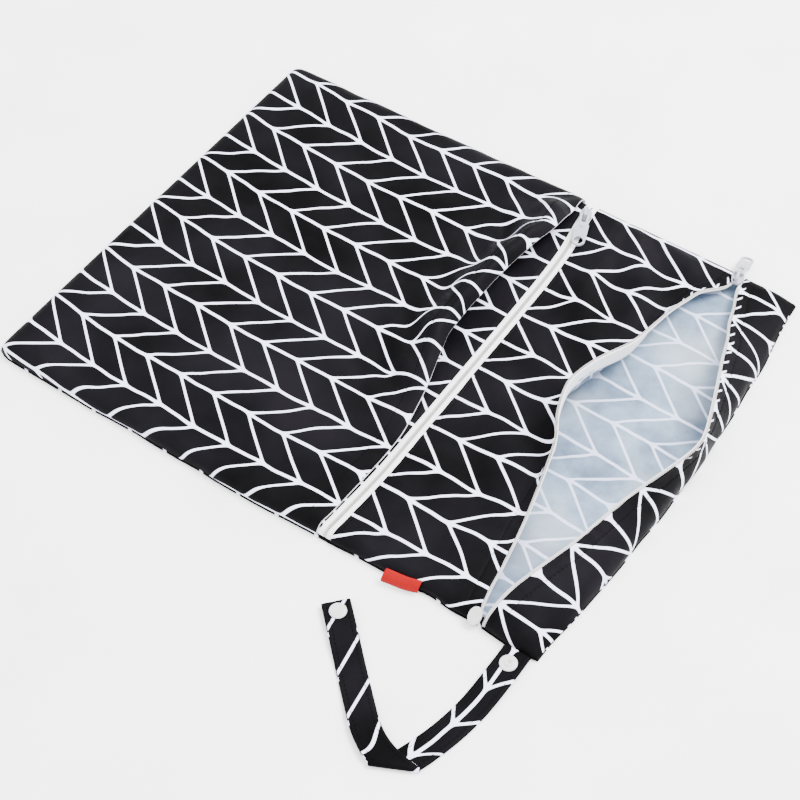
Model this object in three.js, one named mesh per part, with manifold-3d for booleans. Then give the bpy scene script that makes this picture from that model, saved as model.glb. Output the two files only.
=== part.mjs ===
// Cloth diaper wet bag, lying on its back with the upper zipper open.
// Millimetres, +Z up. The origin is on the surface under the middle of the bag's body,
// +X points to the side with the strap and the tag, +Y to the opening.
import * as THREE from 'three';
import { mergeVertices } from 'three/addons/utils/BufferGeometryUtils.js';
import Module from 'manifold-3d';

const wasm = await Module();
wasm.setup();

// Driving dimensions

const bagWidth = 300;            // between the side seams, laid flat
const bagLength = 390;           // from the bottom seam to the top seam
const clothWall = 1.2;           // printed fabric with its lining
const gap = 0.3;                 // between pieces that are sewn together
const wetPocketHeight = 5.7;     // clear height between the back and the upper layers
const bottomTuck = 1.5;          // bottom seam drawn in from the flat length
const edgeRadius = 8;            // roll of the fabric at the side and bottom seams

const upperZipperFromTop = 38;   // line on which the open zipper's ends lie
const stripLength = 100.2;       // between the two zippers, laid flat
const zipperBand = 8.2;          // width of tape and coil that shows between the fabrics
const coilWidth = 1.9;
const coilHeight = 2.2;
const tapeWall = 0.7;

const crestHeight = 18;          // slip pocket's bulge above its flat part
const crestSetback = 16;         // from the rim to the top of the bulge
const crestFoot = 13;            // from the top of the bulge to its foot
const rimSetback = 17;           // deepest dip of the slip pocket's rim from the zipper
const rimShare = 0.6;            // height of the rim as a share of the crest

const mouthHeight = 26;          // rise of the open zipper's edges
const lipDip = 36.5;             // deepest dip of the lip towards the bottom
const lipRadius = 10;            // turn from the flat strip into the lip
const steepestTurn = 0.965;      // rise of the turn at most, share of its radius
const turnShare = 0.55;          // rise of the turn, share of the lip's rise
const bandReach = 49;            // farthest reach of the top band's edge
const bandWidth = 38;            // width of the top band, seam to zipper

const sliderLength = 9.6;
const sliderWidth = 8.4;
const sliderHeight = 2;
const barRadius = 0.8;           // bar of the pull that turns in the slider's bail
const barForward = 2.4;          // bar in front of the slider's middle
const barLift = 2.05;            // bar above the slider's top
const bailWall = 0.9;
const bailWidth = 1.8;
const pullLength = 26;           // from the bar to the tip
const pullWidth = 8.5;
const pullWall = 1.4;
const forkLength = 7;            // open fork that straddles the bail
const ringHole = 3;              // radius of the hole at the tip
const lowerSliderFromSide = 13;  // from the flat bag's far side
const upperSliderFromSide = 7.5;
const lowerPullHeading = 19;     // degrees from +X
const upperPullHeading = 190;
const lowerPullDroop = 6;        // degrees below level
const upperPullDroop = 24;

const strapWidth = 15.5;
const strapWall = 1.6;
const strapFirstLeg = 95;        // from the seam to the fold
const strapSecondLeg = 105;      // from the fold to the end
const strapRootFromTop = 12.4;
const strapFoldGap = 0.6;        // clear height between the folded layers
const snapRadius = 5;
const snapPost = 1.6;
const rootSnapFromSeam = 9.5;
const endSnapFromEnd = 6.6;
const snapDepth = 1.5;           // tallest part of a snap beyond the strap

const tagLength = 21;
const tagFromTop = 88.6;
const tagWall = 0.8;
const tagFlare = 1.5;            // how far its free end stands off the roll

const endStopLength = 11;
const endStopWidth = 8;
const endStopWall = 1.2;
const endStopTurn = 50;          // degrees down the rolled near edge
const endStopAside = 4.2;        // towards the lip, clear of the band's coil

// Levels and places of the layers, worked out from the sizes

const seamZ = clothWall * 1.5 + gap;
const stripZ = clothWall + wetPocketHeight + clothWall / 2;
const pocketZ = stripZ + clothWall + 2 * gap;
const halfWidth = bagWidth / 2;
const halfLength = bagLength / 2;
const bottomSeam = -halfLength + bottomTuck;
const upperZipperY = halfLength - upperZipperFromTop;
const lowerZipperY = upperZipperY - stripLength;
const lowerSliderX = -halfWidth + lowerSliderFromSide;
const upperSliderX = -halfWidth + upperSliderFromSide;
const strapRootY = halfLength - strapRootFromTop;
const tagY = halfLength - tagFromTop;

// Tables. Each row holds shares of the named sizes.

// along: share of the half length; far, near: the outline as shares of the half width
const sideTable = [
  { along: -1.00, far: 1.008, near: 1.030 },
  { along: -0.95, far: 1.012, near: 1.048 },
  { along: 0.00, far: 1.012, near: 1.050 },
  { along: 0.25, far: 1.010, near: 1.037 },
  { along: 0.50, far: 1.006, near: 1.027 },
  { along: 0.77, far: 1.004, near: 1.023 },
  { along: 0.90, far: 1.000, near: 1.037 },
  { along: 1.00, far: 0.995, near: 1.025 },
  { along: 1.08, far: 0.995, near: 1.020 },
];

// across: share of the half width; top: top seam, share of the half length;
// bow: drop of the lower zipper's line, share of its band
const seamTable = [
  { across: -1.05, top: 1.000, bow: 1.05 },
  { across: -0.90, top: 1.008, bow: 0.78 },
  { across: -0.65, top: 1.028, bow: 0.17 },
  { across: -0.20, top: 1.046, bow: 0.00 },
  { across: 0.20, top: 1.046, bow: 0.00 },
  { across: 0.65, top: 1.024, bow: 0.00 },
  { across: 0.93, top: 1.002, bow: 0.30 },
  { across: 1.05, top: 0.996, bow: 0.50 },
];

// setback: dip of the rim, share of rimSetback; crest: share of crestHeight
const pocketTable = [
  { across: -1.05, setback: 0.15, crest: 0.00 },
  { across: -0.90, setback: 0.20, crest: 0.22 },
  { across: -0.81, setback: 0.25, crest: 0.75 },
  { across: -0.70, setback: 0.38, crest: 0.95 },
  { across: -0.57, setback: 0.66, crest: 1.00 },
  { across: -0.33, setback: 0.95, crest: 1.00 },
  { across: 0.00, setback: 1.00, crest: 0.92 },
  { across: 0.08, setback: 0.88, crest: 0.75 },
  { across: 0.24, setback: 0.52, crest: 0.32 },
  { across: 0.39, setback: 0.24, crest: 0.18 },
  { across: 0.52, setback: 0.06, crest: 0.08 },
  { across: 0.70, setback: 0.05, crest: 0.03 },
  { across: 1.05, setback: 0.05, crest: 0.00 },
];

// dip, lift: the lip's edge as shares of lipDip and mouthHeight;
// reach, rise: the top band's edge as shares of bandReach and mouthHeight;
// bulge: the band's belly as a share of bandWidth
const mouthTable = [
  { across: -1.05, dip: 0.00, lift: 0.00, reach: 0.00, rise: 0.00, bulge: 0.11 },
  { across: -0.90, dip: 0.04, lift: 0.00, reach: 0.06, rise: 0.03, bulge: 0.11 },
  { across: -0.79, dip: 0.43, lift: 0.13, reach: 0.18, rise: 0.13, bulge: 0.11 },
  { across: -0.70, dip: 0.47, lift: 0.23, reach: 0.26, rise: 0.21, bulge: 0.11 },
  { across: -0.61, dip: 0.52, lift: 0.33, reach: 0.38, rise: 0.34, bulge: 0.11 },
  { across: -0.50, dip: 0.57, lift: 0.45, reach: 0.49, rise: 0.47, bulge: 0.10 },
  { across: -0.33, dip: 0.65, lift: 0.67, reach: 0.68, rise: 0.66, bulge: 0.09 },
  { across: -0.15, dip: 0.89, lift: 0.87, reach: 0.87, rise: 0.83, bulge: 0.08 },
  { across: -0.04, dip: 0.99, lift: 0.95, reach: 0.96, rise: 0.94, bulge: 0.08 },
  { across: 0.04, dip: 1.00, lift: 1.00, reach: 0.95, rise: 0.97, bulge: 0.08 },
  { across: 0.17, dip: 0.85, lift: 0.95, reach: 0.82, rise: 0.92, bulge: 0.08 },
  { across: 0.25, dip: 0.67, lift: 0.71, reach: 0.72, rise: 0.86, bulge: 0.09 },
  { across: 0.36, dip: 0.54, lift: 0.50, reach: 0.60, rise: 0.79, bulge: 0.10 },
  { across: 0.49, dip: 0.42, lift: 0.30, reach: 0.49, rise: 0.71, bulge: 0.10 },
  { across: 0.60, dip: 0.33, lift: 0.12, reach: 0.40, rise: 0.65, bulge: 0.11 },
  { across: 0.78, dip: 0.20, lift: 0.03, reach: 0.20, rise: 0.49, bulge: 0.11 },
  { across: 0.90, dip: 0.13, lift: 0.00, reach: 0.07, rise: 0.30, bulge: 0.11 },
  { across: 1.05, dip: 0.00, lift: 0.00, reach: 0.00, rise: 0.00, bulge: 0.11 },
];

// Helpers

const lerp = (a, b, t) => a + (b - a) * t;
const radians = (degrees) => (degrees * Math.PI) / 180;
const smooth = (t) => {
  const c = Math.min(Math.max(t, 0), 1);
  return c * c * (3 - 2 * c);
};

// Value of a table's column at a share, eased between its rows.
function read(table, key, column, share) {
  if (share <= table[0][key]) return table[0][column];
  const next = table.findIndex((row) => row[key] > share);
  if (next < 0) return table[table.length - 1][column];
  const a = table[next - 1];
  const b = table[next];
  const before = table[Math.max(next - 2, 0)];
  const after = table[Math.min(next + 1, table.length - 1)];
  const span = b[key] - a[key];
  const t = (share - a[key]) / span;
  const slopeA = (b[column] - before[column]) / (b[key] - before[key]);
  const slopeB = (after[column] - a[column]) / (after[key] - a[key]);
  const flat = b[column] === a[column];
  const mA = flat ? 0 : slopeA * span;
  const mB = flat ? 0 : slopeB * span;
  const t2 = t * t;
  const t3 = t2 * t;
  return (2 * t3 - 3 * t2 + 1) * a[column] + (t3 - 2 * t2 + t) * mA
    + (3 * t2 - 2 * t3) * b[column] + (t3 - t2) * mB;
}

const farSide = (y) => -halfWidth * read(sideTable, 'along', 'far', y / halfLength);
const nearSide = (y) => halfWidth * read(sideTable, 'along', 'near', y / halfLength);
const topSeam = (x) => halfLength * read(seamTable, 'across', 'top', x / halfWidth);
const lowerZipper = (x) => lowerZipperY - zipperBand * read(seamTable, 'across', 'bow', x / halfWidth);
const pocketRim = (x) => lowerZipper(x) - zipperBand / 2
  - rimSetback * read(pocketTable, 'across', 'setback', x / halfWidth);
const pocketCrest = (x) => crestHeight * read(pocketTable, 'across', 'crest', x / halfWidth);
const mouth = (x, column) => read(mouthTable, 'across', column, x / halfWidth);

// Closed body around a grid of points: the grid's middle surface, thickened along its normals.
// point(u, v) gives [x, y, z]; us and vs are the grid's stations.
function sheet(point, us, vs, wall) {
  const nu = us.length;
  const nv = vs.length;
  const grid = us.map((u) => vs.map((v) => new THREE.Vector3(...point(u, v))));
  const positions = [];
  for (const side of [0.5, -0.5]) {
    for (let i = 0; i < nu; i += 1) {
      for (let j = 0; j < nv; j += 1) {
        const du = grid[Math.min(i + 1, nu - 1)][j].clone().sub(grid[Math.max(i - 1, 0)][j]);
        const dv = grid[i][Math.min(j + 1, nv - 1)].clone().sub(grid[i][Math.max(j - 1, 0)]);
        const normal = du.cross(dv).normalize();
        const p = grid[i][j].clone().addScaledVector(normal, side * wall);
        positions.push(p.x, p.y, p.z);
      }
    }
  }
  const top = (i, j) => i * nv + j;
  const under = (i, j) => nu * nv + i * nv + j;
  const faces = [];
  const quad = (a, b, c, d) => faces.push(a, b, c, a, c, d);
  for (let i = 0; i < nu - 1; i += 1) {
    for (let j = 0; j < nv - 1; j += 1) {
      quad(top(i, j), top(i + 1, j), top(i + 1, j + 1), top(i, j + 1));
      quad(under(i, j), under(i, j + 1), under(i + 1, j + 1), under(i + 1, j));
    }
    quad(under(i, 0), under(i + 1, 0), top(i + 1, 0), top(i, 0));
    quad(top(i, nv - 1), top(i + 1, nv - 1), under(i + 1, nv - 1), under(i, nv - 1));
  }
  for (let j = 0; j < nv - 1; j += 1) {
    quad(top(0, j), top(0, j + 1), under(0, j + 1), under(0, j));
    quad(under(nu - 1, j), under(nu - 1, j + 1), top(nu - 1, j + 1), top(nu - 1, j));
  }
  const geometry = new THREE.BufferGeometry();
  geometry.setAttribute('position', new THREE.Float32BufferAttribute(positions, 3));
  geometry.setIndex(faces);
  return geometry;
}

// three.js geometry to a manifold solid and back, for joins and cuts
function solid(geometry) {
  let bare = geometry.clone();
  bare.deleteAttribute('normal');
  bare.deleteAttribute('uv');
  bare = mergeVertices(bare, 1e-4);
  return new wasm.Manifold(new wasm.Mesh({
    numProp: 3,
    vertProperties: new Float32Array(bare.attributes.position.array),
    triVerts: new Uint32Array(bare.index.array),
  }));
}

function geometryOf(manifold) {
  const mesh = manifold.getMesh();
  const geometry = new THREE.BufferGeometry();
  geometry.setAttribute('position', new THREE.Float32BufferAttribute(mesh.vertProperties, 3));
  geometry.setIndex([...mesh.triVerts]);
  return geometry;
}

const join = (...parts) => geometryOf(parts.map(solid).reduce((a, b) => a.add(b)));
const cut = (body, ...tools) => geometryOf(tools.map(solid).reduce((a, b) => a.subtract(b), solid(body)));

// Stations across the bag: close together on the rolled edges, even between them.
// Each is { side, offset } with the offset from the side seam, or a share of the way across.
function acrossStations(steps, radius) {
  const roll = [0, 0.25, 0.5, 0.75].map((t) => radius * (1 - Math.cos((t * Math.PI) / 2)));
  const far = roll.map((offset) => ({ far: offset }));
  const middle = Array.from({ length: steps + 1 }, (_, i) => ({ share: i / steps }));
  const near = roll.slice().reverse().map((offset) => ({ near: offset }));
  return [...far, ...middle, ...near];
}

// X of a station at a height y, for a sheet that stays inset from the outline
function stationX(station, y, inset, radius) {
  const a = farSide(y) + inset;
  const b = nearSide(y) - inset;
  if (station.far !== undefined) return a + station.far;
  if (station.near !== undefined) return b - station.near;
  return lerp(a + radius, b - radius, station.share);
}

// Share of the full height that is left on the rolled edge, a quarter ellipse
function roll(distance, radius) {
  const t = Math.min(Math.max((radius - distance) / radius, 0), 1);
  return Math.sqrt(Math.max(1 - t * t, 0));
}

function sideRoll(x, y, inset, radius) {
  const a = x - farSide(y) - inset;
  const b = nearSide(y) - inset - x;
  return roll(Math.min(a, b), radius);
}

const onSeam = (z, share) => seamZ + (z - seamZ) * share;

// Flat back

function backPanel() {
  const rows = Array.from({ length: 15 }, (_, i) => lerp(bottomSeam, halfLength, i / 14));
  const columns = Array.from({ length: 15 }, (_, i) => lerp(0.98, -0.98, i / 14) * halfWidth);
  const outline = [
    ...rows.map((y) => new THREE.Vector2(nearSide(y), y)),
    ...columns.map((x) => new THREE.Vector2(x, topSeam(x))),
    ...rows.slice().reverse().map((y) => new THREE.Vector2(farSide(y), y)),
  ];
  return new THREE.ExtrudeGeometry(new THREE.Shape(outline), {
    depth: clothWall, bevelEnabled: false, steps: 1,
  });
}

// Panels of the pocket side

const outerInset = clothWall / 2;
const outerRoll = edgeRadius - outerInset;
const innerInset = outerInset + clothWall + 2 * gap;
const innerRoll = edgeRadius - innerInset;

// Rows from the bottom seam: close on the roll, then even up to a line
function bottomRows(radius, steps) {
  const rolled = [0, 0.25, 0.5, 0.75].map((t) => ({ offset: radius * (1 - Math.cos((t * Math.PI) / 2)) }));
  const even = Array.from({ length: steps + 1 }, (_, i) => ({ share: i / steps }));
  return [...rolled, ...even];
}

function innerPanel() {
  const point = (station, row) => {
    const bottom = bottomSeam + innerInset;
    const roughX = stationX(station, 0, innerInset, innerRoll);
    const top = lowerZipper(roughX) - zipperBand / 2 - gap;
    const y = row.offset !== undefined ? bottom + row.offset : lerp(bottom + innerRoll, top, row.share);
    const x = stationX(station, y, innerInset, innerRoll);
    const share = sideRoll(x, y, innerInset, innerRoll) * roll(y - bottom, innerRoll);
    return [x, y, onSeam(stripZ, share)];
  };
  return sheet(point, acrossStations(14, innerRoll), bottomRows(innerRoll, 5), clothWall);
}

// Height of the slip pocket's bulge at a distance back from its rim
function pocketBulge(back) {
  if (back <= crestSetback) return rimShare + (1 - rimShare) * Math.sin((Math.PI / 2) * (back / crestSetback));
  if (back >= crestSetback + crestFoot) return 0;
  return 0.5 * (1 + Math.cos((Math.PI * (back - crestSetback)) / crestFoot));
}

function frontPanel() {
  const bulgeLength = crestSetback + crestFoot;
  const bulgeRows = [1, 0.88, 0.76, 0.64, 0.5, 0.34, 0.18, 0];
  const rows = [...bottomRows(outerRoll, 3), ...bulgeRows.slice(1).map((back) => ({ back }))];
  const point = (station, row) => {
    const bottom = bottomSeam + outerInset;
    const rim = pocketRim(stationX(station, 0, outerInset, outerRoll));
    const foot = rim - bulgeLength;
    let y = bottom + row.offset;
    if (row.share !== undefined) y = lerp(bottom + outerRoll, foot, row.share);
    if (row.back !== undefined) y = rim - row.back * bulgeLength;
    const x = stationX(station, y, outerInset, outerRoll);
    const share = sideRoll(x, y, outerInset, outerRoll) * roll(y - bottom, outerRoll);
    const rise = pocketCrest(x) * pocketBulge(rim - y);
    return [x, y, onSeam(pocketZ + rise, share)];
  };
  return sheet(point, acrossStations(30, outerRoll), rows, clothWall);
}

// Strip between the zippers. Its section runs flat from the lower zipper, turns up on an arc
// and goes on straight to the edge of the open zipper.
function stripSection(x) {
  const start = lowerZipper(x);
  const edgeY = upperZipperY - gap / 2 - lipDip * mouth(x, 'dip');
  const lift = Math.max(mouthHeight * mouth(x, 'lift'), 0.2);
  const arcRise = Math.min(steepestTurn * lipRadius, turnShare * lift);
  const angle = Math.acos(1 - arcRise / lipRadius);
  const straight = (lift - arcRise) / Math.sin(angle);
  const flat = edgeY - start - lipRadius * Math.sin(angle) - straight * Math.cos(angle);
  return { start, flat, angle, straight, length: flat + lipRadius * angle + straight };
}

// Point of the strip at a distance s from the lower zipper's middle
function stripPoint(station, s, section) {
  let y = section.start + s;
  let z = stripZ;
  if (s > section.flat) {
    const turned = Math.min((s - section.flat) / lipRadius, section.angle);
    const beyond = Math.max(s - section.flat - lipRadius * section.angle, 0);
    y = section.start + section.flat + lipRadius * Math.sin(turned) + beyond * Math.cos(section.angle);
    z = stripZ + lipRadius * (1 - Math.cos(turned)) + beyond * Math.sin(section.angle);
  }
  const x = stationX(station, y, outerInset, outerRoll);
  return [x, y, onSeam(z, sideRoll(x, y, outerInset, outerRoll))];
}

const zipperEdge = coilWidth + 2 * gap;                   // from the edge of an open half to its tape
const clothEdge = zipperBand / 2;                         // from the edge of an open half to the cloth
const stationSteps = 30;

const stripStation = (station) => stripSection(stationX(station, upperZipperY, outerInset, outerRoll));

function middleStrip() {
  const rows = [
    ...[0, 0.35, 0.7, 1].map((t) => ({ part: 'flat', t })),
    ...[0.25, 0.5, 0.75, 1].map((t) => ({ part: 'arc', t })),
    ...[0.5, 1].map((t) => ({ part: 'straight', t })),
  ];
  const point = (station, row) => {
    const section = stripStation(station);
    const first = zipperBand / 2 + gap;
    const last = section.length - clothEdge - gap;
    const bends = [Math.min(section.flat, last - 2), Math.min(section.flat + lipRadius * section.angle, last - 1)];
    let s = lerp(first, bends[0], row.t);
    if (row.part === 'arc') s = lerp(bends[0], bends[1], row.t);
    if (row.part === 'straight') s = lerp(bends[1], last, row.t);
    return stripPoint(station, s, section);
  };
  return sheet(point, acrossStations(stationSteps, outerRoll), rows, clothWall);
}

// Top band, from the top seam over its belly to the edge of the open zipper
function bandPoint(station, fromEdge) {
  const guess = stationX(station, upperZipperY, outerInset, outerRoll);
  const seamY = topSeam(guess) - outerInset;
  const edgeY = upperZipperY + gap / 2 + bandReach * mouth(guess, 'reach');
  const edgeZ = stripZ + mouthHeight * mouth(guess, 'rise');
  const chordY = edgeY - seamY;
  const chordZ = edgeZ - seamZ;
  const chord = Math.hypot(chordY, chordZ);
  const t = fromEdge === undefined ? 0 : 1 - fromEdge / chord;
  const belly = bandWidth * mouth(guess, 'bulge') * 6.75 * t * (1 - t) ** 2;
  const y = seamY + chordY * t + (chordZ / chord) * belly;
  const z = seamZ + chordZ * t - (chordY / chord) * belly;
  const x = stationX(station, Math.min(y, halfLength), outerInset, outerRoll);
  return [x, y, onSeam(z, sideRoll(x, Math.min(y, halfLength), outerInset, outerRoll)), chord];
}

function topBand() {
  const rows = [0, 0.06, 0.14, 0.26, 0.42, 0.6, 0.8, 1];
  const point = (station, t) => {
    const chord = bandPoint(station)[3];
    const last = chord - clothEdge - gap;
    return bandPoint(station, chord - last * t).slice(0, 3);
  };
  return sheet(point, acrossStations(stationSteps, outerRoll), rows.slice().reverse(), clothWall);
}

// Zippers

function openStations(fromX) {
  return acrossStations(stationSteps, outerRoll)
    .filter((station) => stationX(station, upperZipperY, outerInset, outerRoll) > fromX);
}

function lipTrim(from, to, wall, stations) {
  const point = (station, back) => {
    const section = stripStation(station);
    return stripPoint(station, section.length - back, section);
  };
  return sheet(point, stations, [from, to], wall);
}

function bandTrim(from, to, wall, stations) {
  return sheet((station, back) => bandPoint(station, back).slice(0, 3), stations, [to, from], wall);
}

function closedTrim(from, to, wall, stations) {
  const point = (station, across) => {
    const guess = stationX(station, lowerZipperY, outerInset, outerRoll);
    const y = lowerZipper(guess) + across;
    const x = stationX(station, y, outerInset, outerRoll);
    return [x, y, onSeam(stripZ, sideRoll(x, y, outerInset, outerRoll))];
  };
  return sheet(point, stations, [from, to], wall);
}

// Slider: a rounded body with a bail arched over the pull's bar.
// Its own X points along the pull.
const sliderFloor = stripZ + tapeWall / 2 + gap;
const barZ = sliderHeight + barLift;

function sliderBody() {
  const half = sliderWidth / 2;
  const end = sliderLength / 2;
  const shape = new THREE.Shape();
  shape.moveTo(end, -half * 0.55);
  shape.lineTo(end, half * 0.55);
  shape.quadraticCurveTo(end * 0.55, half, 0, half * 0.92);
  shape.quadraticCurveTo(-end * 0.6, half * 0.85, -end, half * 0.5);
  shape.lineTo(-end, -half * 0.5);
  shape.quadraticCurveTo(-end * 0.6, -half * 0.85, 0, -half * 0.92);
  shape.quadraticCurveTo(end * 0.55, -half, end, -half * 0.55);
  const body = new THREE.ExtrudeGeometry(shape, { depth: sliderHeight, bevelEnabled: false, curveSegments: 4 });

  const inner = barZ + barRadius + gap;
  const front = barForward + barRadius + gap;
  const back = -end + bailWall;
  const bail = new THREE.Shape();
  bail.moveTo(back - bailWall * 0.6, sliderHeight - gap);
  bail.quadraticCurveTo(back - bailWall, inner + bailWall, lerp(back, front, 0.35), inner + bailWall);
  bail.lineTo(front - 0.4, inner + bailWall);
  bail.quadraticCurveTo(front + bailWall, inner + bailWall, front + bailWall, inner);
  bail.lineTo(front + bailWall, sliderHeight - gap);
  bail.lineTo(front, sliderHeight - gap);
  bail.lineTo(front, inner - 0.3);
  bail.lineTo(front - 0.3, inner);
  bail.lineTo(lerp(back, front, 0.35), inner);
  bail.quadraticCurveTo(back + 0.3, inner, back + bailWall * 0.5, sliderHeight - gap);
  const arch = new THREE.ExtrudeGeometry(bail, { depth: bailWidth, bevelEnabled: false, curveSegments: 4 });
  arch.rotateX(Math.PI / 2);
  arch.translate(0, bailWidth / 2, 0);
  return join(body, arch);
}

// Pull tab: bar, fork, plate with a hole at its round tip and a low rivet. Its bar lies on its own Y.
function pullTab() {
  const half = pullWidth / 2;
  const neck = half * 0.72;
  const tip = pullLength - half;
  const shape = new THREE.Shape();
  shape.moveTo(0, -neck);
  shape.lineTo(forkLength, -neck);
  shape.lineTo(forkLength + 2.5, -half);
  shape.lineTo(tip, -half);
  shape.absarc(tip, 0, half, -Math.PI / 2, Math.PI / 2, false);
  shape.lineTo(forkLength + 2.5, half);
  shape.lineTo(forkLength, neck);
  shape.lineTo(0, neck);
  const fork = new THREE.Path();
  const slot = bailWidth / 2 + 0.7;
  fork.moveTo(barRadius, -slot);
  fork.lineTo(barRadius, slot);
  fork.lineTo(forkLength, slot);
  fork.lineTo(forkLength, -slot);
  const hole = new THREE.Path();
  hole.absarc(tip, 0, ringHole, 0, Math.PI * 2, true);
  shape.holes.push(fork, hole);
  const plate = new THREE.ExtrudeGeometry(shape, { depth: pullWall, bevelEnabled: false, curveSegments: 8 });
  plate.translate(0, 0, -pullWall / 2);
  const bar = new THREE.CylinderGeometry(barRadius, barRadius, 2 * neck, 10);
  const rivet = new THREE.CylinderGeometry(1.5, 1.9, 0.8, 14);
  rivet.rotateX(Math.PI / 2);
  rivet.translate(forkLength + 2.6, 0, pullWall / 2 + 0.2);
  return join(plate, bar, rivet);
}

function zipperEnd() {
  const shape = new THREE.Shape();
  shape.absellipse(0, 0, endStopLength / 2, endStopWidth / 2, 0, Math.PI * 2, false, 0);
  return new THREE.ExtrudeGeometry(shape, { depth: endStopWall, bevelEnabled: false, curveSegments: 8 });
}

// Strap: a ribbon that leaves the side seam, is folded over once and comes down on the surface.
// Heading along a leg, in degrees from +X
const firstHeading = (t) => -28 * t ** 1.6;
const foldOut = -100;
const secondHeading = (t) => foldOut - 33 * smooth(t / 0.34);

const legRows = 20;
const rowEvery = 10;

function strapRows() {
  const foldIn = firstHeading(1);
  const foldLine = radians((foldIn + foldOut) / 2);
  const skew = 1 / Math.tan(foldLine - radians(foldIn));
  const steps = legRows * rowEvery;
  const lowZ = strapWall / 2;
  const raisedZ = strapWall * 0.5 + snapDepth + 2 * gap;
  const foldRadius = (strapWall + strapFoldGap) / 2;
  const highZ = lowZ + 2 * foldRadius;
  const rows = [];
  const rootEdges = [-0.5, 0, 0.5].map((share) => nearSide(strapRootY + share * strapWidth));
  const place = new THREE.Vector2(Math.max(...rootEdges) + 2 * gap, strapRootY);
  const addRow = (heading, side, lean, z) => {
    const along = new THREE.Vector2(Math.cos(heading), Math.sin(heading));
    const across = new THREE.Vector2(-along.y, along.x).multiplyScalar(side).addScaledVector(along, lean);
    rows.push({ x: place.x, y: place.y, z, across });
  };
  for (let i = 0; i <= steps; i += 1) {
    const t = i / steps;
    const heading = radians(firstHeading(t));
    const lean = skew * smooth((t - 0.7) / 0.28);
    if (i % rowEvery === 0) addRow(heading, 1, lean, lerp(raisedZ, lowZ, smooth((t - 0.18) / 0.3)));
    if (i < steps) {
      place.x += (strapFirstLeg / steps) * Math.cos(heading);
      place.y += (strapFirstLeg / steps) * Math.sin(heading);
    }
  }
  const last = rows[rows.length - 1];
  const outward = new THREE.Vector2(-Math.sin(foldLine), Math.cos(foldLine));
  if (outward.dot(new THREE.Vector2(Math.cos(radians(foldIn)), Math.sin(radians(foldIn)))) < 0) outward.negate();
  for (const angle of [45, 90, 135]) {
    const reach = foldRadius * Math.sin(radians(angle));
    rows.push({
      x: last.x + outward.x * reach,
      y: last.y + outward.y * reach,
      z: lowZ + foldRadius * (1 - Math.cos(radians(angle))),
      across: last.across,
    });
  }
  for (let i = 0; i <= steps; i += 1) {
    const t = i / steps;
    const heading = radians(secondHeading(t));
    const lean = skew * (1 - smooth(t / 0.26));
    const lowered = lerp(highZ, lowZ, smooth((t - 0.24) / 0.3));
    const z = lerp(lowered, raisedZ, smooth((t - 0.6) / 0.22));
    if (i % rowEvery === 0) addRow(heading, -1, lean, z);
    place.x += (strapSecondLeg / steps) * Math.cos(heading);
    place.y += (strapSecondLeg / steps) * Math.sin(heading);
  }
  return rows;
}

const strapGrid = strapRows();

// Place on the strap's middle line, a number of rows from its start
function strapPlace(index) {
  const whole = Math.floor(index);
  const places = [whole, whole + 1].map((i) => new THREE.Vector3(strapGrid[i].x, strapGrid[i].y, strapGrid[i].z));
  return places[0].lerp(places[1], index - whole);
}

const snapRow = (rootSnapFromSeam * legRows) / strapFirstLeg;
const endSnapRow = strapGrid.length - 1 - (endSnapFromEnd * legRows) / strapSecondLeg;

function strapBody() {
  const point = (row, across) => [
    row.x + row.across.x * across,
    row.y + row.across.y * across,
    row.z,
  ];
  const half = strapWidth / 2;
  const ribbon = sheet(point, strapGrid, [-half, 0, half], strapWall);
  const holes = [snapRow, endSnapRow].map((index) => {
    const drill = new THREE.CylinderGeometry(snapPost + gap, snapPost + gap, 4 * strapWall, 14);
    drill.rotateX(Math.PI / 2);
    const place = strapPlace(index);
    drill.translate(place.x, place.y, place.z);
    return drill;
  });
  return cut(ribbon, ...holes);
}

// Snap: a cap, a post through the strap and a ringed half on the other side, turned in one piece
function snap(ringUp) {
  const reach = strapWall / 2 + gap;
  const ring = [[0, 0.9], [1.1, 0.9], [1.3, snapDepth], [2.3, snapDepth], [2.6, 0.8], [snapRadius - 0.6, 0.7],
    [snapRadius, 0.3]];
  const cap = [[0, 1.0], [snapRadius - 1.6, 0.9], [snapRadius - 0.4, 0.55], [snapRadius, 0.1]];
  const upper = ringUp ? ring : cap;
  const lower = ringUp ? cap : ring;
  const profile = [
    ...upper.map(([r, h]) => [r, reach + h]),
    [snapRadius, reach],
    [snapPost, reach],
    [snapPost, -reach],
    [snapRadius, -reach],
    ...lower.slice().reverse().map(([r, h]) => [r, -reach - h]),
  ];
  const points = profile.reverse().map(([r, h]) => new THREE.Vector2(r, h));
  const turned = new THREE.LatheGeometry(points, 20);
  turned.rotateX(Math.PI / 2);
  return geometryOf(solid(turned));
}

// Tag: sewn on the rolled edge, bent over it and pointing out
function sideTag() {
  const lift = clothWall / 2 + gap + tagWall / 2;
  const point = (angle, along) => {
    const y = tagY + along * tagLength;
    const radius = outerRoll + lift + tagFlare;
    const height = stripZ - seamZ + lift;
    const x = nearSide(y) - outerInset - outerRoll + radius * Math.sin(angle);
    return [x, y, seamZ + height * Math.cos(angle)];
  };
  const angles = [35, 45, 55, 66, 77, 88].map(radians);
  return sheet(point, angles, [-0.5, 0, 0.5], tagWall);
}

// Materials

const fabric = (color) => new THREE.MeshStandardMaterial({ color, roughness: 0.75, metalness: 0, flatShading: true });
const plastic = (color) => new THREE.MeshStandardMaterial({ color, roughness: 0.35, metalness: 0, flatShading: true });
const printed = fabric(0x1d1d22);
const tapeCloth = fabric(0xe6e4e8);
const coilNylon = plastic(0xd9d5cc);
const whitePlastic = plastic(0xf0eef2);
const redCloth = fabric(0xd8262c);

// Assembly

const bag = new THREE.Group();

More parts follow.
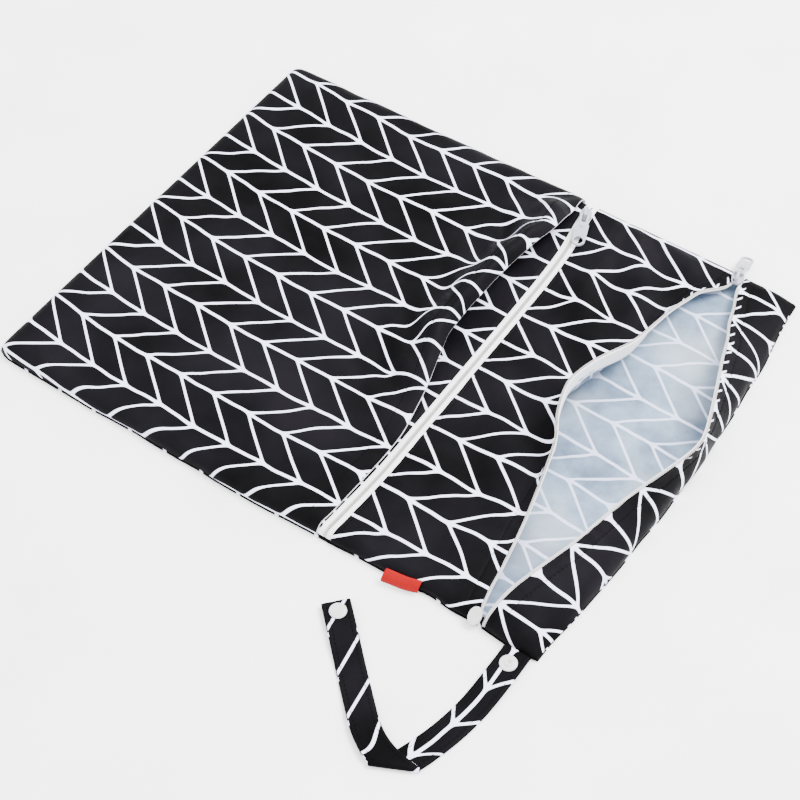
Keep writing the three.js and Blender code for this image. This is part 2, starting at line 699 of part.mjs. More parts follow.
function add(name, geometry, material, parent = bag) {
  const mesh = new THREE.Mesh(geometry, material);
  mesh.name = name;
  parent.add(mesh);
  return mesh;
}

const allStations = acrossStations(stationSteps, outerRoll);
const closedFrom = lowerSliderX + sliderLength / 2 + gap;
const openFrom = upperSliderX + sliderLength / 2 + gap;
const lowerStations = allStations
  .filter((station) => stationX(station, lowerZipperY, outerInset, outerRoll) > closedFrom);
const tapeInner = coilWidth / 2 + gap;
const tapeOuter = zipperBand / 2;

add('back_panel', backPanel(), printed);
add('inner_panel', innerPanel(), printed);
add('front_panel', frontPanel(), printed);
add('middle_strip', middleStrip(), printed);
add('top_band', topBand(), printed);
add('lower_tape_left', closedTrim(-tapeOuter, -tapeInner, tapeWall, allStations), tapeCloth);
add('lower_coil', closedTrim(-coilWidth / 2, coilWidth / 2, coilHeight, lowerStations), coilNylon);
add('lower_tape_right', closedTrim(tapeInner, tapeOuter, tapeWall, allStations), tapeCloth);
add('upper_tape_left', lipTrim(clothEdge, zipperEdge, tapeWall, allStations), tapeCloth);
add('upper_coil_left', lipTrim(coilWidth, 0, coilHeight, openStations(openFrom)), coilNylon);
add('upper_tape_right', bandTrim(clothEdge, zipperEdge, tapeWall, allStations), tapeCloth);
add('upper_coil_right', bandTrim(coilWidth, 0, coilHeight, openStations(openFrom)), coilNylon);
add('side_tag', sideTag(), redCloth);
add('strap', strapBody(), printed);

// Slider and pull of one zipper
function addSlider(prefix, x, y, heading, droop) {
  const slider = new THREE.Group();
  slider.position.set(x, y, sliderFloor);
  slider.rotation.z = radians(heading);
  add(`${prefix}_slider`, sliderBody(), whitePlastic, slider);
  const swing = new THREE.Group();
  swing.position.set(barForward, 0, barZ);
  swing.rotation.y = radians(droop);
  add(`${prefix}_pull`, pullTab(), whitePlastic, swing);
  slider.add(swing);
  bag.add(slider);
}

addSlider('lower', lowerSliderX, lowerZipper(lowerSliderX), lowerPullHeading, lowerPullDroop);
addSlider('upper', upperSliderX, upperZipperY, upperPullHeading, upperPullDroop);

// The end stop lies on the rolled edge, square to it
const turnDown = radians(endStopTurn);
const rollHeight = stripZ - seamZ;
const endStopTilt = Math.atan2(rollHeight * Math.sin(turnDown), outerRoll * Math.cos(turnDown));
const endStopLift = coilHeight / 2 + gap;
const rollCentre = nearSide(upperZipperY) - outerInset - outerRoll;
const endStop = add('upper_end_stop', zipperEnd(), whitePlastic);
endStop.rotation.y = endStopTilt;
endStop.position.set(
  rollCentre + outerRoll * Math.sin(turnDown) + endStopLift * Math.sin(endStopTilt),
  upperZipperY - endStopAside,
  seamZ + rollHeight * Math.cos(turnDown) + endStopLift * Math.cos(endStopTilt),
);

const snapSocket = add('snap_socket', snap(true), whitePlastic);
snapSocket.position.copy(strapPlace(snapRow));
const snapStud = add('snap_stud', snap(false), whitePlastic);
snapStud.position.copy(strapPlace(endSnapRow));

export default bag;
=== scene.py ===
"""Cloth wet bag lying on its back with its upper zipper open: the finish of every piece.

Lengths in the functions are millimetres and meshes are put into Blender in metres.
The origin is on the surface under the middle of the bag's body, +X points to the side
with the strap and the tag, +Y to the opening.
"""

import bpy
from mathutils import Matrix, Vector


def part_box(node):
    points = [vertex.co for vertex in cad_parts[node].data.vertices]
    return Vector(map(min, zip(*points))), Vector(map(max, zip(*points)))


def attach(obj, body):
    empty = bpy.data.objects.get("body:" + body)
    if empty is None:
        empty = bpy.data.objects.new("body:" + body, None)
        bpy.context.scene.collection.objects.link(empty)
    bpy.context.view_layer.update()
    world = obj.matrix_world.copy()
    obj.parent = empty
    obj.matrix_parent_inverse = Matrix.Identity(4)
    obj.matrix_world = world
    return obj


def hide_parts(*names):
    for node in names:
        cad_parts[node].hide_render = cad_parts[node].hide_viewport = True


bl_info = {
    "name": "Cloth wet bag",
    "version": (1, 0, 0),
    "blender": (4, 5, 0),
    "location": "3D View > Sidebar > Wet bag",
    "description": "Builds the cloth, zippers, snaps and stage of a wet bag around its frame",
    "category": "Object",
}

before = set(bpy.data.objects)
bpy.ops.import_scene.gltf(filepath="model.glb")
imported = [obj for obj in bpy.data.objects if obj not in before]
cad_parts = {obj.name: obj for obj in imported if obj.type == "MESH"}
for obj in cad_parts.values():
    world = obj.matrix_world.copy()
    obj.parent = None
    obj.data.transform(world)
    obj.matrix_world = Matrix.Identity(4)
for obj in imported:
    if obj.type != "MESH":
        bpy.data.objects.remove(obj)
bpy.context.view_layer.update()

import math

import bmesh
import bpy
import numpy as np
from mathutils import Matrix, Vector

MM = 0.001
BODY = "bag"

# Sizes that the frame's solids share

BAG_WIDTH = 300
BAG_LENGTH = 390
CLOTH_SPACE = 1.2            # thickness that the frame keeps for a panel
GAP = 0.3
WET_POCKET_HEIGHT = 5.7
BOTTOM_TUCK = 1.5
EDGE_RADIUS = 8
LOWER_ZIPPER_Y = 56.8
UPPER_ZIPPER_Y = 157
ZIPPER_BAND = 8.2
COIL_WIDTH = 1.9
CREST_HEIGHT = 18
RIM_SETBACK = 17
RIM_SHARE = 0.6
FOLD_SETBACK = 7             # from the slip pocket's rim to the top of its soft fold
FOLD_FOOT = 25               # from there to where the panel lies flat
FOLD_SHARE = 0.92            # of the crest's height
MOUTH_HEIGHT = 26
LIP_DIP = 36.5
LIP_RADIUS = 10
STEEPEST_TURN = 0.965
TURN_SHARE = 0.55
BAND_REACH = 49
BAND_WIDTH = 38
STRAP_WIDTH = 15.5
STRAP_SPACE = 1.6
STRAP_FIRST_LEG = 95
STRAP_SECOND_LEG = 105
STRAP_ROOT_Y = 182.6
STRAP_LEAN = 28              # in degrees: how far the first leg bends away
STRAP_RETURN = (100, 33)     # in degrees: the second leg's heading at the fold, and its bend
STRAP_FOLD_GAP = 0.6
SNAP_RADIUS = 5
SNAP_DEPTH = 1.5
SNAP_POST = 1.6
SNAP_SUNK = 0.1              # of the upper disc's underside
ROOT_SNAP_FROM_SEAM = 9.5
END_SNAP_FROM_END = 6.6
TAG_LENGTH = 21
TAG_Y = 106.4
TAG_SPACE = 0.8
TAG_FLARE = 1.5
TAG_SKEW = 4.5               # one end stands out further than the other

HALF_WIDTH = BAG_WIDTH / 2
HALF_LENGTH = BAG_LENGTH / 2
BOTTOM_SEAM = -HALF_LENGTH + BOTTOM_TUCK
SEAM_Z = CLOTH_SPACE * 1.5 + GAP
STRIP_Z = CLOTH_SPACE + WET_POCKET_HEIGHT + CLOTH_SPACE / 2
POCKET_Z = STRIP_Z + CLOTH_SPACE + 2 * GAP
OUTER_INSET = CLOTH_SPACE / 2
OUTER_ROLL = EDGE_RADIUS - OUTER_INSET
INNER_INSET = OUTER_INSET + CLOTH_SPACE + 2 * GAP
INNER_ROLL = EDGE_RADIUS - INNER_INSET
CLOTH_EDGE = ZIPPER_BAND / 2 + GAP
HEM_EDGE = 2.4               # from the edge of the open zipper to the cloth
HEM_STITCH = 10.5            # from the slip pocket's rim
LIP_STITCH = 7               # from the cloth's edge at the open zipper
STRAP_STITCH = 2.4           # from the strap's edge
ZIPPER_STITCH = 2            # from the strip's edge at the closed zipper
STRAP_WALL = 1.35
TAG_WALL = 0.6
SEAM_ALLOWANCE = 6
FAN_X = -165                 # the folds at the closed zipper's slider fan out from here
FAN_Y = 70
FAN_FOLDS = 13
GROOVE_DEPTH = 0.3           # where a row of stitches draws the cloth in
GROOVE_WIDTH = 0.8
TAPE_SUNK = 0.78             # from a panel's middle down to the tape's
TAPE_START = 0.6             # from the coil's edge
COIL_HALF_HEIGHT = 0.7
MESHED_OFFSET = 0.3          # of each coil from the closed zipper's middle line

# Print, in mm: widest waver, rounding of corners, half of the soft edge, and the hem's ticks

PRINT_WOBBLE = 1.1
PRINT_CORNER = 2.2
PRINT_EDGE = 0.14
TICK_SPACING = 8.3
TICK_SLANT = 1.3

# Snaps, as (radius, height above the strap's frame space)

SNAP_CAP = ((0, 1.0), (SNAP_RADIUS - 1.6, 0.9), (SNAP_RADIUS - 0.4, 0.55), (SNAP_RADIUS, 0.1))
SNAP_RING = (
    (0, 0.6), (1.0, 0.6), (1.3, SNAP_DEPTH), (2.3, SNAP_DEPTH), (2.6, 0.8),
    (SNAP_RADIUS - 0.6, 0.7), (SNAP_RADIUS, 0.3),
)

# Stations across and rows along each sheet

BACK_STATIONS = 110
INNER_STATIONS = 120
POCKET_STATIONS = 190
HEM_STATIONS = 220
CLOSED_STATIONS = 150
OPEN_STATIONS = 190
BACK_ROWS = 90
INNER_ROWS = 70
POCKET_ROWS = 80
BULGE_ROWS = 64
STRIP_ROWS = 120
BAND_ROWS = 70
TAPE_ROWS = 12
STRAP_STEPS = 120

# Stage, in metres and watts: each lamp has a name, a place, a size and a power

FLOOR_REACH = 6
FLOOR_DROP = 0.0002
SKY_STRENGTH = 3.2
LAMPS = (("key", (-1.0, 0.9, 1.9), 1.2, 180), ("fill", (1.4, -0.6, 1.8), 2.2, 45))

# Tables of the frame's shapes. The first column is the share along or across the bag.

# along the half length: far and near outline, shares of the half width
SIDES = (
    (-1.00, 1.008, 1.030), (-0.95, 1.012, 1.048), (0.00, 1.012, 1.050),
    (0.25, 1.010, 1.037), (0.50, 1.006, 1.027), (0.77, 1.004, 1.023),
    (0.90, 1.000, 1.037), (1.00, 0.995, 1.025), (1.08, 0.995, 1.020),
)
FAR, NEAR = 1, 2

# across the half width: top seam as a share of the half length, drop of the lower zipper
SEAMS = (
    (-1.05, 1.000, 1.05), (-0.90, 1.008, 0.78), (-0.65, 1.028, 0.17), (-0.20, 1.046, 0.00),
    (0.20, 1.046, 0.00), (0.65, 1.024, 0.00), (0.93, 1.002, 0.30), (1.05, 0.996, 0.50),
)
TOP, BOW = 1, 2

# across the half width: dip of the slip pocket's rim, height of its crest
POCKET = (
    (-1.05, 0.15, 0.00), (-0.90, 0.20, 0.22), (-0.81, 0.25, 0.75), (-0.70, 0.38, 0.95),
    (-0.57, 0.66, 1.00), (-0.33, 0.95, 1.00), (0.00, 1.00, 0.92), (0.08, 0.88, 0.75),
    (0.24, 0.52, 0.32), (0.39, 0.24, 0.18), (0.52, 0.06, 0.08), (0.70, 0.05, 0.03),
    (1.05, 0.05, 0.00),
)
SETBACK, CREST = 1, 2

# across the half width: dip and lift of the lip's edge, reach and rise of the band's edge,
# belly of the band
MOUTH = (
    (-1.05, 0.00, 0.00, 0.00, 0.00, 0.11), (-0.90, 0.04, 0.00, 0.06, 0.03, 0.11),
    (-0.79, 0.34, 0.13, 0.18, 0.13, 0.11), (-0.70, 0.44, 0.23, 0.26, 0.21, 0.11),
    (-0.61, 0.52, 0.33, 0.38, 0.34, 0.11), (-0.50, 0.57, 0.45, 0.49, 0.47, 0.10),
    (-0.33, 0.65, 0.67, 0.68, 0.66, 0.09), (-0.15, 0.89, 0.87, 0.87, 0.83, 0.08),
    (-0.04, 0.99, 0.95, 0.96, 0.94, 0.08), (0.04, 1.00, 1.00, 0.95, 0.97, 0.08),
    (0.17, 0.85, 0.95, 0.82, 0.92, 0.08), (0.25, 0.67, 0.71, 0.72, 0.86, 0.09),
    (0.36, 0.54, 0.50, 0.60, 0.79, 0.10), (0.49, 0.42, 0.30, 0.49, 0.71, 0.10),
    (0.60, 0.33, 0.12, 0.40, 0.65, 0.11), (0.78, 0.20, 0.03, 0.20, 0.49, 0.11),
    (0.90, 0.13, 0.00, 0.07, 0.30, 0.11), (1.05, 0.00, 0.00, 0.00, 0.00, 0.11),
)
DIP, LIFT, REACH, RISE, BULGE = 1, 2, 3, 4, 5


# Settings that a user would change


def number_setting(name, description, value, **more):
    return bpy.props.FloatProperty(name=name, description=description, default=value, **more)


def color_setting(name, description, value):
    return bpy.props.FloatVectorProperty(
        name=name, description=description, default=(*value, 1), subtype="COLOR", size=4)


class ClothSettings(bpy.types.PropertyGroup):
    """Sizes and colours of the cloth pieces."""

    wall: number_setting("Cloth wall", "Thickness of the lined cloth, in mm", 0.9, min=0.3, max=1.1)
    stem_spacing: number_setting("Stem spacing", "Distance between the print's long lines, in mm", 25.7)
    leaf_pitch: number_setting("Leaf pitch", "Distance between two leaves along a stem, in mm", 27.2)
    leaf_rise: number_setting("Leaf rise", "Rise of a leaf from stem to stem, in mm", 31.5)
    stem_width: number_setting("Stem width", "Width of the print's long lines, in mm", 2.0)
    leaf_width: number_setting("Leaf width", "Width of the print's slanting lines, in mm", 1.6)
    fabric_color: color_setting("Fabric", "Ground of the print", (0.0010, 0.0009, 0.0012))
    line_color: color_setting("Lines", "Lines of the print", (0.78, 0.79, 0.95))
    lining_color: color_setting("Lining", "Coated inner face of the cloth", (0.095, 0.138, 0.215))
    tag_color: color_setting("Tag", "Woven side tag", (0.22, 0.0004, 0.0008))


class ZipperSettings(bpy.types.PropertyGroup):
    """Sizes and colours of the zippers and snaps."""

    coil_pitch: number_setting("Coil pitch", "Distance between two turns of a coil, in mm", 1.25)
    coil_wire: number_setting("Coil wire", "Radius of the coil's nylon wire, in mm", 0.27)
    tape_width: number_setting("Tape width", "Width of one half of the zipper tape, in mm", 12)
    tape_wall: number_setting("Tape wall", "Thickness of the zipper tape, in mm", 0.45)
    tape_color: color_setting("Tape", "Zipper tape", (0.60, 0.59, 0.67))
    coil_color: color_setting("Coil", "Nylon coil", (0.56, 0.54, 0.53))
    enamel_color: color_setting("Enamel", "Sliders and pulls", (0.33, 0.33, 0.39))
    snap_color: color_setting("Snaps", "Resin snaps", (0.52, 0.52, 0.51))


class StageSettings(bpy.types.PropertyGroup):
    """Camera and floor."""

    azimuth: number_setting("Azimuth", "Camera's bearing, in degrees, 0 looking along +Y", 125.3675)
    elevation: number_setting("Elevation", "Camera's height above the horizon, in degrees", 52.3005)
    roll: number_setting("Roll", "Turn of the image, in degrees", -1.1587)
    distance: number_setting("Distance", "From the camera to its target", 1.053467, unit="LENGTH")
    target: bpy.props.FloatVectorProperty(
        name="Target", description="Point in the middle of the image", size=3, subtype="TRANSLATION",
        default=(0.048857, 0.031945, 0))
    lens: number_setting("Lens", "Focal length for a 36 mm sensor, in mm", 78.923)
    floor_color: color_setting("Floor", "Pale floor", (0.96, 0.96, 0.96))


# Shape helpers: every one works on whole arrays


def eased(rows, column, share):
    """Value of a table's column at a share: a cubic between rows, level where two rows agree."""
    rows = np.asarray(rows, float)
    key, value = rows[:, 0], rows[:, column]
    share = np.clip(share, key[0], key[-1])
    row = np.clip(np.searchsorted(key, share, side="right") - 1, 0, len(key) - 2)
    before = np.maximum(row - 1, 0)
    after = np.minimum(row + 2, len(key) - 1)
    span = key[row + 1] - key[row]
    moving = value[row + 1] != value[row]
    slope_a = (value[row + 1] - value[before]) / (key[row + 1] - key[before]) * span * moving
    slope_b = (value[after] - value[row]) / (key[after] - key[row]) * span * moving
    t = (share - key[row]) / span
    return ((2 * t**3 - 3 * t**2 + 1) * value[row] + (t**3 - 2 * t**2 + t) * slope_a
            + (3 * t**2 - 2 * t**3) * value[row + 1] + (t**3 - t**2) * slope_b)


def smooth(t):
    """0 below 0, 1 above 1, and a smooth step between."""
    t = np.clip(t, 0, 1)
    return t * t * (3 - 2 * t)


def bump(distance, width):
    """A soft hump of height 1 at distance 0: the Gaussian of distance over width."""
    return np.exp(-(distance / width) ** 2)


def noise(x, y, size, seed):
    """Smooth noise from -1 to 1: a lattice of random values, one every size, eased between."""
    lattice = np.random.default_rng(seed).uniform(-1, 1, (64, 64))
    u, v = np.asarray(x) / size + 17.3, np.asarray(y) / size + 11.7
    i, j = np.floor(u).astype(int), np.floor(v).astype(int)
    s, t = smooth(u - i), smooth(v - j)
    corner = [[lattice[(i + a) % 64, (j + b) % 64] for b in (0, 1)] for a in (0, 1)]
    low = corner[0][0] * (1 - s) + corner[1][0] * s
    high = corner[0][1] * (1 - s) + corner[1][1] * s
    return low * (1 - t) + high * t


def far_side(y):
    """Outline of the far side, pulled in and out a little by its seam."""
    return -HALF_WIDTH * eased(SIDES, FAR, y / HALF_LENGTH) + 0.7 * noise(y, 0 * y, 19, 61)


def near_side(y):
    """Outline of the near side, in the same way."""
    return HALF_WIDTH * eased(SIDES, NEAR, y / HALF_LENGTH) + 0.9 * noise(y, 0 * y, 16, 62)


def top_seam(x):
    return HALF_LENGTH * eased(SEAMS, TOP, x / HALF_WIDTH) + 0.7 * noise(x, 0 * x, 22, 63)


def lower_zipper(x):
    return LOWER_ZIPPER_Y - ZIPPER_BAND * eased(SEAMS, BOW, x / HALF_WIDTH)


def pocket_rim(x):
    return lower_zipper(x) - ZIPPER_BAND / 2 - RIM_SETBACK * eased(POCKET, SETBACK, x / HALF_WIDTH)


def pocket_crest(x):
    return CREST_HEIGHT * eased(POCKET, CREST, x / HALF_WIDTH)


def mouth(x, column):
    return eased(MOUTH, column, x / HALF_WIDTH)


def across(count, radius, rolled=8):
    """Stations from the far seam to the near seam, as weights (far, near, offset) in one row each.

    On the rolled edges the offset from the seam is radius times 1 minus a cosine; between
    them the stations share the way evenly.
    """
    edge = radius * (1 - np.cos(np.linspace(0, np.pi / 2, rolled + 1)[:-1]))
    share = np.linspace(0, 1, count)
    ones, zeros = np.ones_like(edge), np.zeros_like(edge)
    far = np.stack([ones, zeros, edge], 1)
    middle = np.stack([1 - share, share, radius * (1 - 2 * share)], 1)
    near = np.stack([zeros, ones, -edge[::-1]], 1)
    return np.concatenate([far, middle, near])


def place_across(stations, y, inset):
    """X of the stations at heights y, for a sheet that stays inset from the outline."""
    return (stations[:, :1] * (far_side(y) + inset) + stations[:, 1:2] * (near_side(y) - inset)
            + stations[:, 2:])


def x_at_height(stations, y=UPPER_ZIPPER_Y, inset=OUTER_INSET):
    """X of the stations at one height, to work out heights that depend on X."""
    return place_across(stations, np.full((1, 1), float(y)), inset)


def roll(distance, radius):
    """Share of the full height left on a rolled edge: a quarter ellipse."""
    t = np.clip((radius - distance) / radius, 0, 1)
    return np.sqrt(1 - t * t)


def edge_distance(x, y):
    """How far inside the nearer side seam a place lies."""
    return np.minimum(x - far_side(y), near_side(y) - x)


def seam_distance(x, y):
    """How far inside the nearest of the four seams a place lies."""
    return np.minimum(edge_distance(x, y), np.minimum(y - BOTTOM_SEAM, top_seam(x) - y))


def side_roll(x, y, inset, radius):
    return roll(edge_distance(x, y) - inset, radius)


def on_seam(z, share):
    """Height brought down to the seam's by a share."""
    return SEAM_Z + (z - SEAM_Z) * share


def drape(x, y):
    """Rise of the slack upper layers: two scales of smooth noise, puckers along the side seams
    that die out inwards, and folds that fan out from the closed zipper's slider."""
    inward = edge_distance(x, y)
    broad = 1.3 * noise(x, y, 62, 3) + 0.8 * noise(x + 0.4 * y, y, 27, 8)
    puckers = 1.3 * noise(0.25 * x, y, 9.5, 21) * np.exp(-inward / 18)
    out_x, out_y = x - FAN_X, y - FAN_Y
    fan = 1.5 * np.sin(FAN_FOLDS * np.arctan2(out_y, out_x)) * bump(np.hypot(out_x, out_y) - 70, 45)
    return (broad + puckers + fan) * smooth(inward / 12)


def unit(vectors):
    return vectors / np.maximum(np.linalg.norm(vectors, axis=-1, keepdims=True), 1e-9)


def curve_lengths(curve):
    """Length along a curve of points, at each of them."""
    return np.append(0, np.cumsum(np.linalg.norm(np.diff(curve, axis=0), axis=1)))


def read_along(curve, values, at):
    """Values given at a curve's points, read at lengths along it."""
    length = curve_lengths(curve)
    return np.stack([np.interp(at, length, column) for column in values.T], 1)


def point_along(curve, at):
    return read_along(curve, curve, np.array([at]))[0]


def cumulative(points, axis):
    """Length along one axis of a grid of points, from its first row."""
    step = np.linalg.norm(np.diff(points, axis=axis), axis=-1)
    pad = [(0, 0), (0, 0)]
    pad[axis] = (1, 0)
    return np.cumsum(np.pad(step, pad), axis=axis)


def cloth_uv(points):
    """Flat place of each point of a grid in the cut cloth, in mm: the length across one row of
    the grid, counted from x = 0, and the length along each column."""
    row = points.shape[1] // 3
    across_length = cumulative(points, 0)[:, row]
    across_length = across_length - np.interp(0, points[:, row, 0], across_length)
    along = cumulative(points, 1)
    return np.stack([np.broadcast_to(across_length[:, None], along.shape), along], -1)


def grid_normals(points):
    """Unit normals of a grid: the cross product of its central differences."""
    return unit(np.cross(np.gradient(points, axis=0), np.gradient(points, axis=1)))


# Mesh making


def new_piece(name, points, faces, materials, face_material=None, uv=None):
    """Puts points (mm), faces and a UV in mm into a smooth mesh at the origin, riding on the bag."""
    mesh = bpy.data.meshes.new(name)
    mesh.from_pydata((np.asarray(points) * MM).tolist(), [], [list(f) for f in faces])
    for finish in materials:
        mesh.materials.append(finish)
    if face_material is not None:
        mesh.polygons.foreach_set("material_index", np.asarray(face_material, np.int32))
    mesh.polygons.foreach_set("use_smooth", np.ones(len(mesh.polygons), bool))
    if uv is not None:
        corner = np.zeros(len(mesh.loops), np.int32)
        mesh.loops.foreach_get("vertex_index", corner)
        layer = mesh.uv_layers.new(name="cloth")
        layer.data.foreach_set("uv", np.asarray(uv, np.float32)[corner].ravel())
    mesh.update()
    piece = bpy.data.objects.new(name, mesh)
    bpy.context.scene.collection.objects.link(piece)
    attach(piece, BODY)
    return piece


def strip_of_quads(first, second):
    """Quads between two closed or open rows of vertex numbers."""
    return np.stack([first[:-1], first[1:], second[1:], second[:-1]], -1).reshape(-1, 4)


def shell(name, middle, wall, uv, materials, edge=0, hem=None):
    """A closed sheet around a grid of middle points.

    The outer and the inner face lie half a wall to either side along the grid's normals, and a
    round rim joins them: its middle row stands out from the grid by a share of the wall.
    Materials are the outer face, the inner face and the rim's own where edge is 2. A hem grid
    holds each point's distance from the gathered hem and is kept as an attribute.
    """
    nu, nv = middle.shape[:2]
    normal = grid_normals(middle)
    index = np.arange(nu * nv).reshape(nu, nv)
    loop = np.concatenate([index[:, 0], index[-1, 1:], index[-2::-1, -1], index[0, -2::-1]])
    i, j = loop // nv, loop % nv
    inner = middle[np.clip(i, 1, nu - 2), np.clip(j, 1, nv - 2)]
    rim_points = middle[i, j] + unit(middle[i, j] - inner) * wall * 0.42
    points = np.concatenate([
        (middle + normal * wall / 2).reshape(-1, 3),
        (middle - normal * wall / 2).reshape(-1, 3),
        rim_points[:-1],
    ])
    a, b, c, d = index[:-1, :-1], index[1:, :-1], index[1:, 1:], index[:-1, 1:]
    outer = np.stack([a, b, c, d], -1).reshape(-1, 4)
    under = np.stack([a, d, c, b], -1).reshape(-1, 4) + nu * nv
    rim = np.append(np.arange(len(loop) - 1), 0) + 2 * nu * nv
    upper_rim = strip_of_quads(rim, loop)
    lower_rim = strip_of_quads(loop + nu * nv, rim)
    faces = np.concatenate([outer, under, upper_rim, lower_rim])
    kind = np.repeat([0, 1, edge, edge], [len(outer), len(under), len(upper_rim), len(lower_rim)])
    flat = uv.reshape(-1, 2)
    flat = np.concatenate([flat, flat, flat[loop[:-1]]])
    piece = new_piece(name, points, faces, materials, kind, flat)
    if hem is not None:
        distance = hem.ravel().astype(np.float32)
        field = piece.data.attributes.new("hem", "FLOAT", "POINT")
        field.data.foreach_set("value", np.concatenate([distance, distance, distance[loop[:-1]]]))
    return piece


def ring_quads(index):
    """Quads between neighbouring closed rings of vertex numbers, one ring in each row."""
    turned = np.roll(index, -1, axis=1)
    return np.stack([index[:-1], turned[:-1], turned[1:], index[1:]], -1).reshape(-1, 4).tolist()


def tube(path, reference, radius, sides):
    """Points and quads of a round tube along a path of points, with flat ends.

    Each section is a circle in the plane of the reference direction and of its cross product
    with the path's direction.
    """
    tangent = unit(np.gradient(path, axis=0))
    side = unit(reference - (reference * tangent).sum(1, keepdims=True) * tangent)
    up = np.cross(tangent, side)
    angle = np.linspace(0, 2 * np.pi, sides, endpoint=False)[:, None]
    ring = side[:, None] * np.cos(angle) + up[:, None] * np.sin(angle)
    points = (path[:, None] + radius * ring).reshape(-1, 3)
    index = np.arange(len(path) * sides).reshape(len(path), sides)
    return points, [*ring_quads(index), index[0][::-1].tolist(), index[-1].tolist()]


def stitches(name, runs, thread, spacing=2.8, length=2.1, radius=0.17, lift=0.1):
    """Rows of stitches: each stitch is a small rounded bar that dips into the cloth at both ends.

    Runs are pairs of a curve of points and the cloth's normals along it. The three rows of
    numbers are the sections' places along the stitch, their girth and their rise.
    """
    share = np.array([-0.5, -0.32, 0, 0.32, 0.5])[:, None]
    girth = np.array([0.25, 0.85, 1.0, 0.85, 0.25])
    rise = np.array([-1.3, 0.15, 0.75, 0.15, -1.3])[:, None]
    angle = np.linspace(0, 2 * np.pi, 6, endpoint=False)[:, None]
    all_points, all_faces, count = [], [], 0
    for curve, normals in runs:
        at = np.arange(spacing / 2, curve_lengths(curve)[-1] - spacing / 2, spacing)
        along = unit(read_along(curve, curve, at + 0.3) - read_along(curve, curve, at - 0.3))
        normal = read_along(curve, normals, at)
        normal = unit(normal - (normal * along).sum(1, keepdims=True) * along)
        side = np.cross(along, normal)
        centre = (read_along(curve, curve, at)[:, None] + along[:, None] * (share * length)
                  + normal[:, None] * (lift + radius * rise))
        ring = side[:, None, None] * np.cos(angle) + normal[:, None, None] * np.sin(angle)
        points = centre[:, :, None] + ring * (radius * girth)[:, None, None]
        index = np.arange(points[..., 0].size).reshape(points.shape[:3]) + count
        turned = np.roll(index, -1, axis=2)
        quads = np.stack([index[:, :-1], index[:, 1:], turned[:, 1:], turned[:, :-1]], -1)
        all_points.append(points.reshape(-1, 3))
        all_faces += quads.reshape(-1, 4).tolist()
        all_faces += index[:, 0].tolist() + index[:, -1, ::-1].tolist()
        count += points[..., 0].size
    return new_piece(name, np.concatenate(all_points), all_faces, [thread])


# Materials: each is worked out from its own nodes


class Value:
    """An output in a material's nodes. Sums, products and functions of values add math nodes."""

    def __init__(self, nodes, socket):
        self.nodes = nodes
        self.socket = socket

    def math(self, operation, *others):
        node = self.nodes.add("ShaderNodeMath", operation=operation)
        for value, socket in zip((self, *others), node.inputs):
            self.nodes.feed(value, socket)
        return Value(self.nodes, node.outputs[0])

    def __add__(self, other):
        return self.math("ADD", other)

    def __sub__(self, other):
        return self.math("SUBTRACT", other)

    def __mul__(self, other):
        return self.math("MULTIPLY", other)

    def __truediv__(self, other):
        return self.math("DIVIDE", other)

    def wave(self, pitch):
        """Sine of the value, one turn per pitch."""
        return (self * (2 * math.pi / pitch)).math("SINE")


class Nodes:
    """A material's node tree, with short calls for the nodes used here."""

    def __init__(self, name):
        self.material = bpy.data.materials.new(name)
        self.material.use_nodes = True
        self.tree = self.material.node_tree
        self.shader = self.tree.nodes["Principled BSDF"]

    def add(self, kind, **values):
        node = self.tree.nodes.new(kind)
        for key, value in values.items():
            setattr(node, key, value)
        return node

    def feed(self, value, socket):
        """Links a value to a socket, or sets the socket to a constant."""
        if isinstance(value, Value):
            self.tree.links.new(value.socket, socket)
        else:
            socket.default_value = value

    def output(self, kind, name, inputs, **values):
        """The named output of a new node whose inputs are fed."""
        node = self.add(kind, **values)
        for key, value in inputs.items():
            self.feed(value, node.inputs[key])
        return Value(self, node.outputs[name])

    def cloth_place(self, offset=(0, 0)):
        """U and V of the cut cloth in mm, moved by an offset."""
        split = self.add("ShaderNodeSeparateXYZ")
        self.feed(self.output("ShaderNodeUVMap", "UV", {}, uv_map="cloth"), split.inputs[0])
        return [Value(self, split.outputs[k]) + offset[k] for k in (0, 1)]

    def noise(self, scale, detail=3, roughness=0.5):
        place = self.output("ShaderNodeTexCoord", "Object", {})
        inputs = {"Vector": place, "Scale": scale, "Detail": detail, "Roughness": roughness}
        return self.output("ShaderNodeTexNoise", "Fac", inputs)

    def remap(self, value, low, high, to_low=0.0, to_high=1.0):
        inputs = {"Value": value, "From Min": low, "From Max": high, "To Min": to_low, "To Max": to_high}
        return self.output("ShaderNodeMapRange", "Result", inputs)

    def mix(self, share, a, b):
        return self.output("ShaderNodeMix", "Result", {"Factor": share, "A": a, "B": b}, data_type="RGBA")

    def bump(self, height, strength, distance):
        inputs = {"Height": height, "Strength": strength, "Distance": distance}
        self.feed(self.output("ShaderNodeBump", "Normal", inputs), self.shader.inputs["Normal"])

    def finish(self, **inputs):
        """Feeds the shader's own sockets."""
        for key, value in inputs.items():
            self.feed(value, self.shader.inputs[key.replace("_", " ")])
        return self.material


def shade(color, share=1):
    """A colour made lighter or darker by a share."""
    return (*(share * channel for channel in color[:3]), 1)


def from_whole(share):
    """Distance of a value from the nearest whole number."""
    return ((share + 0.5).math("FRACT") - 0.5).math("ABSOLUTE")


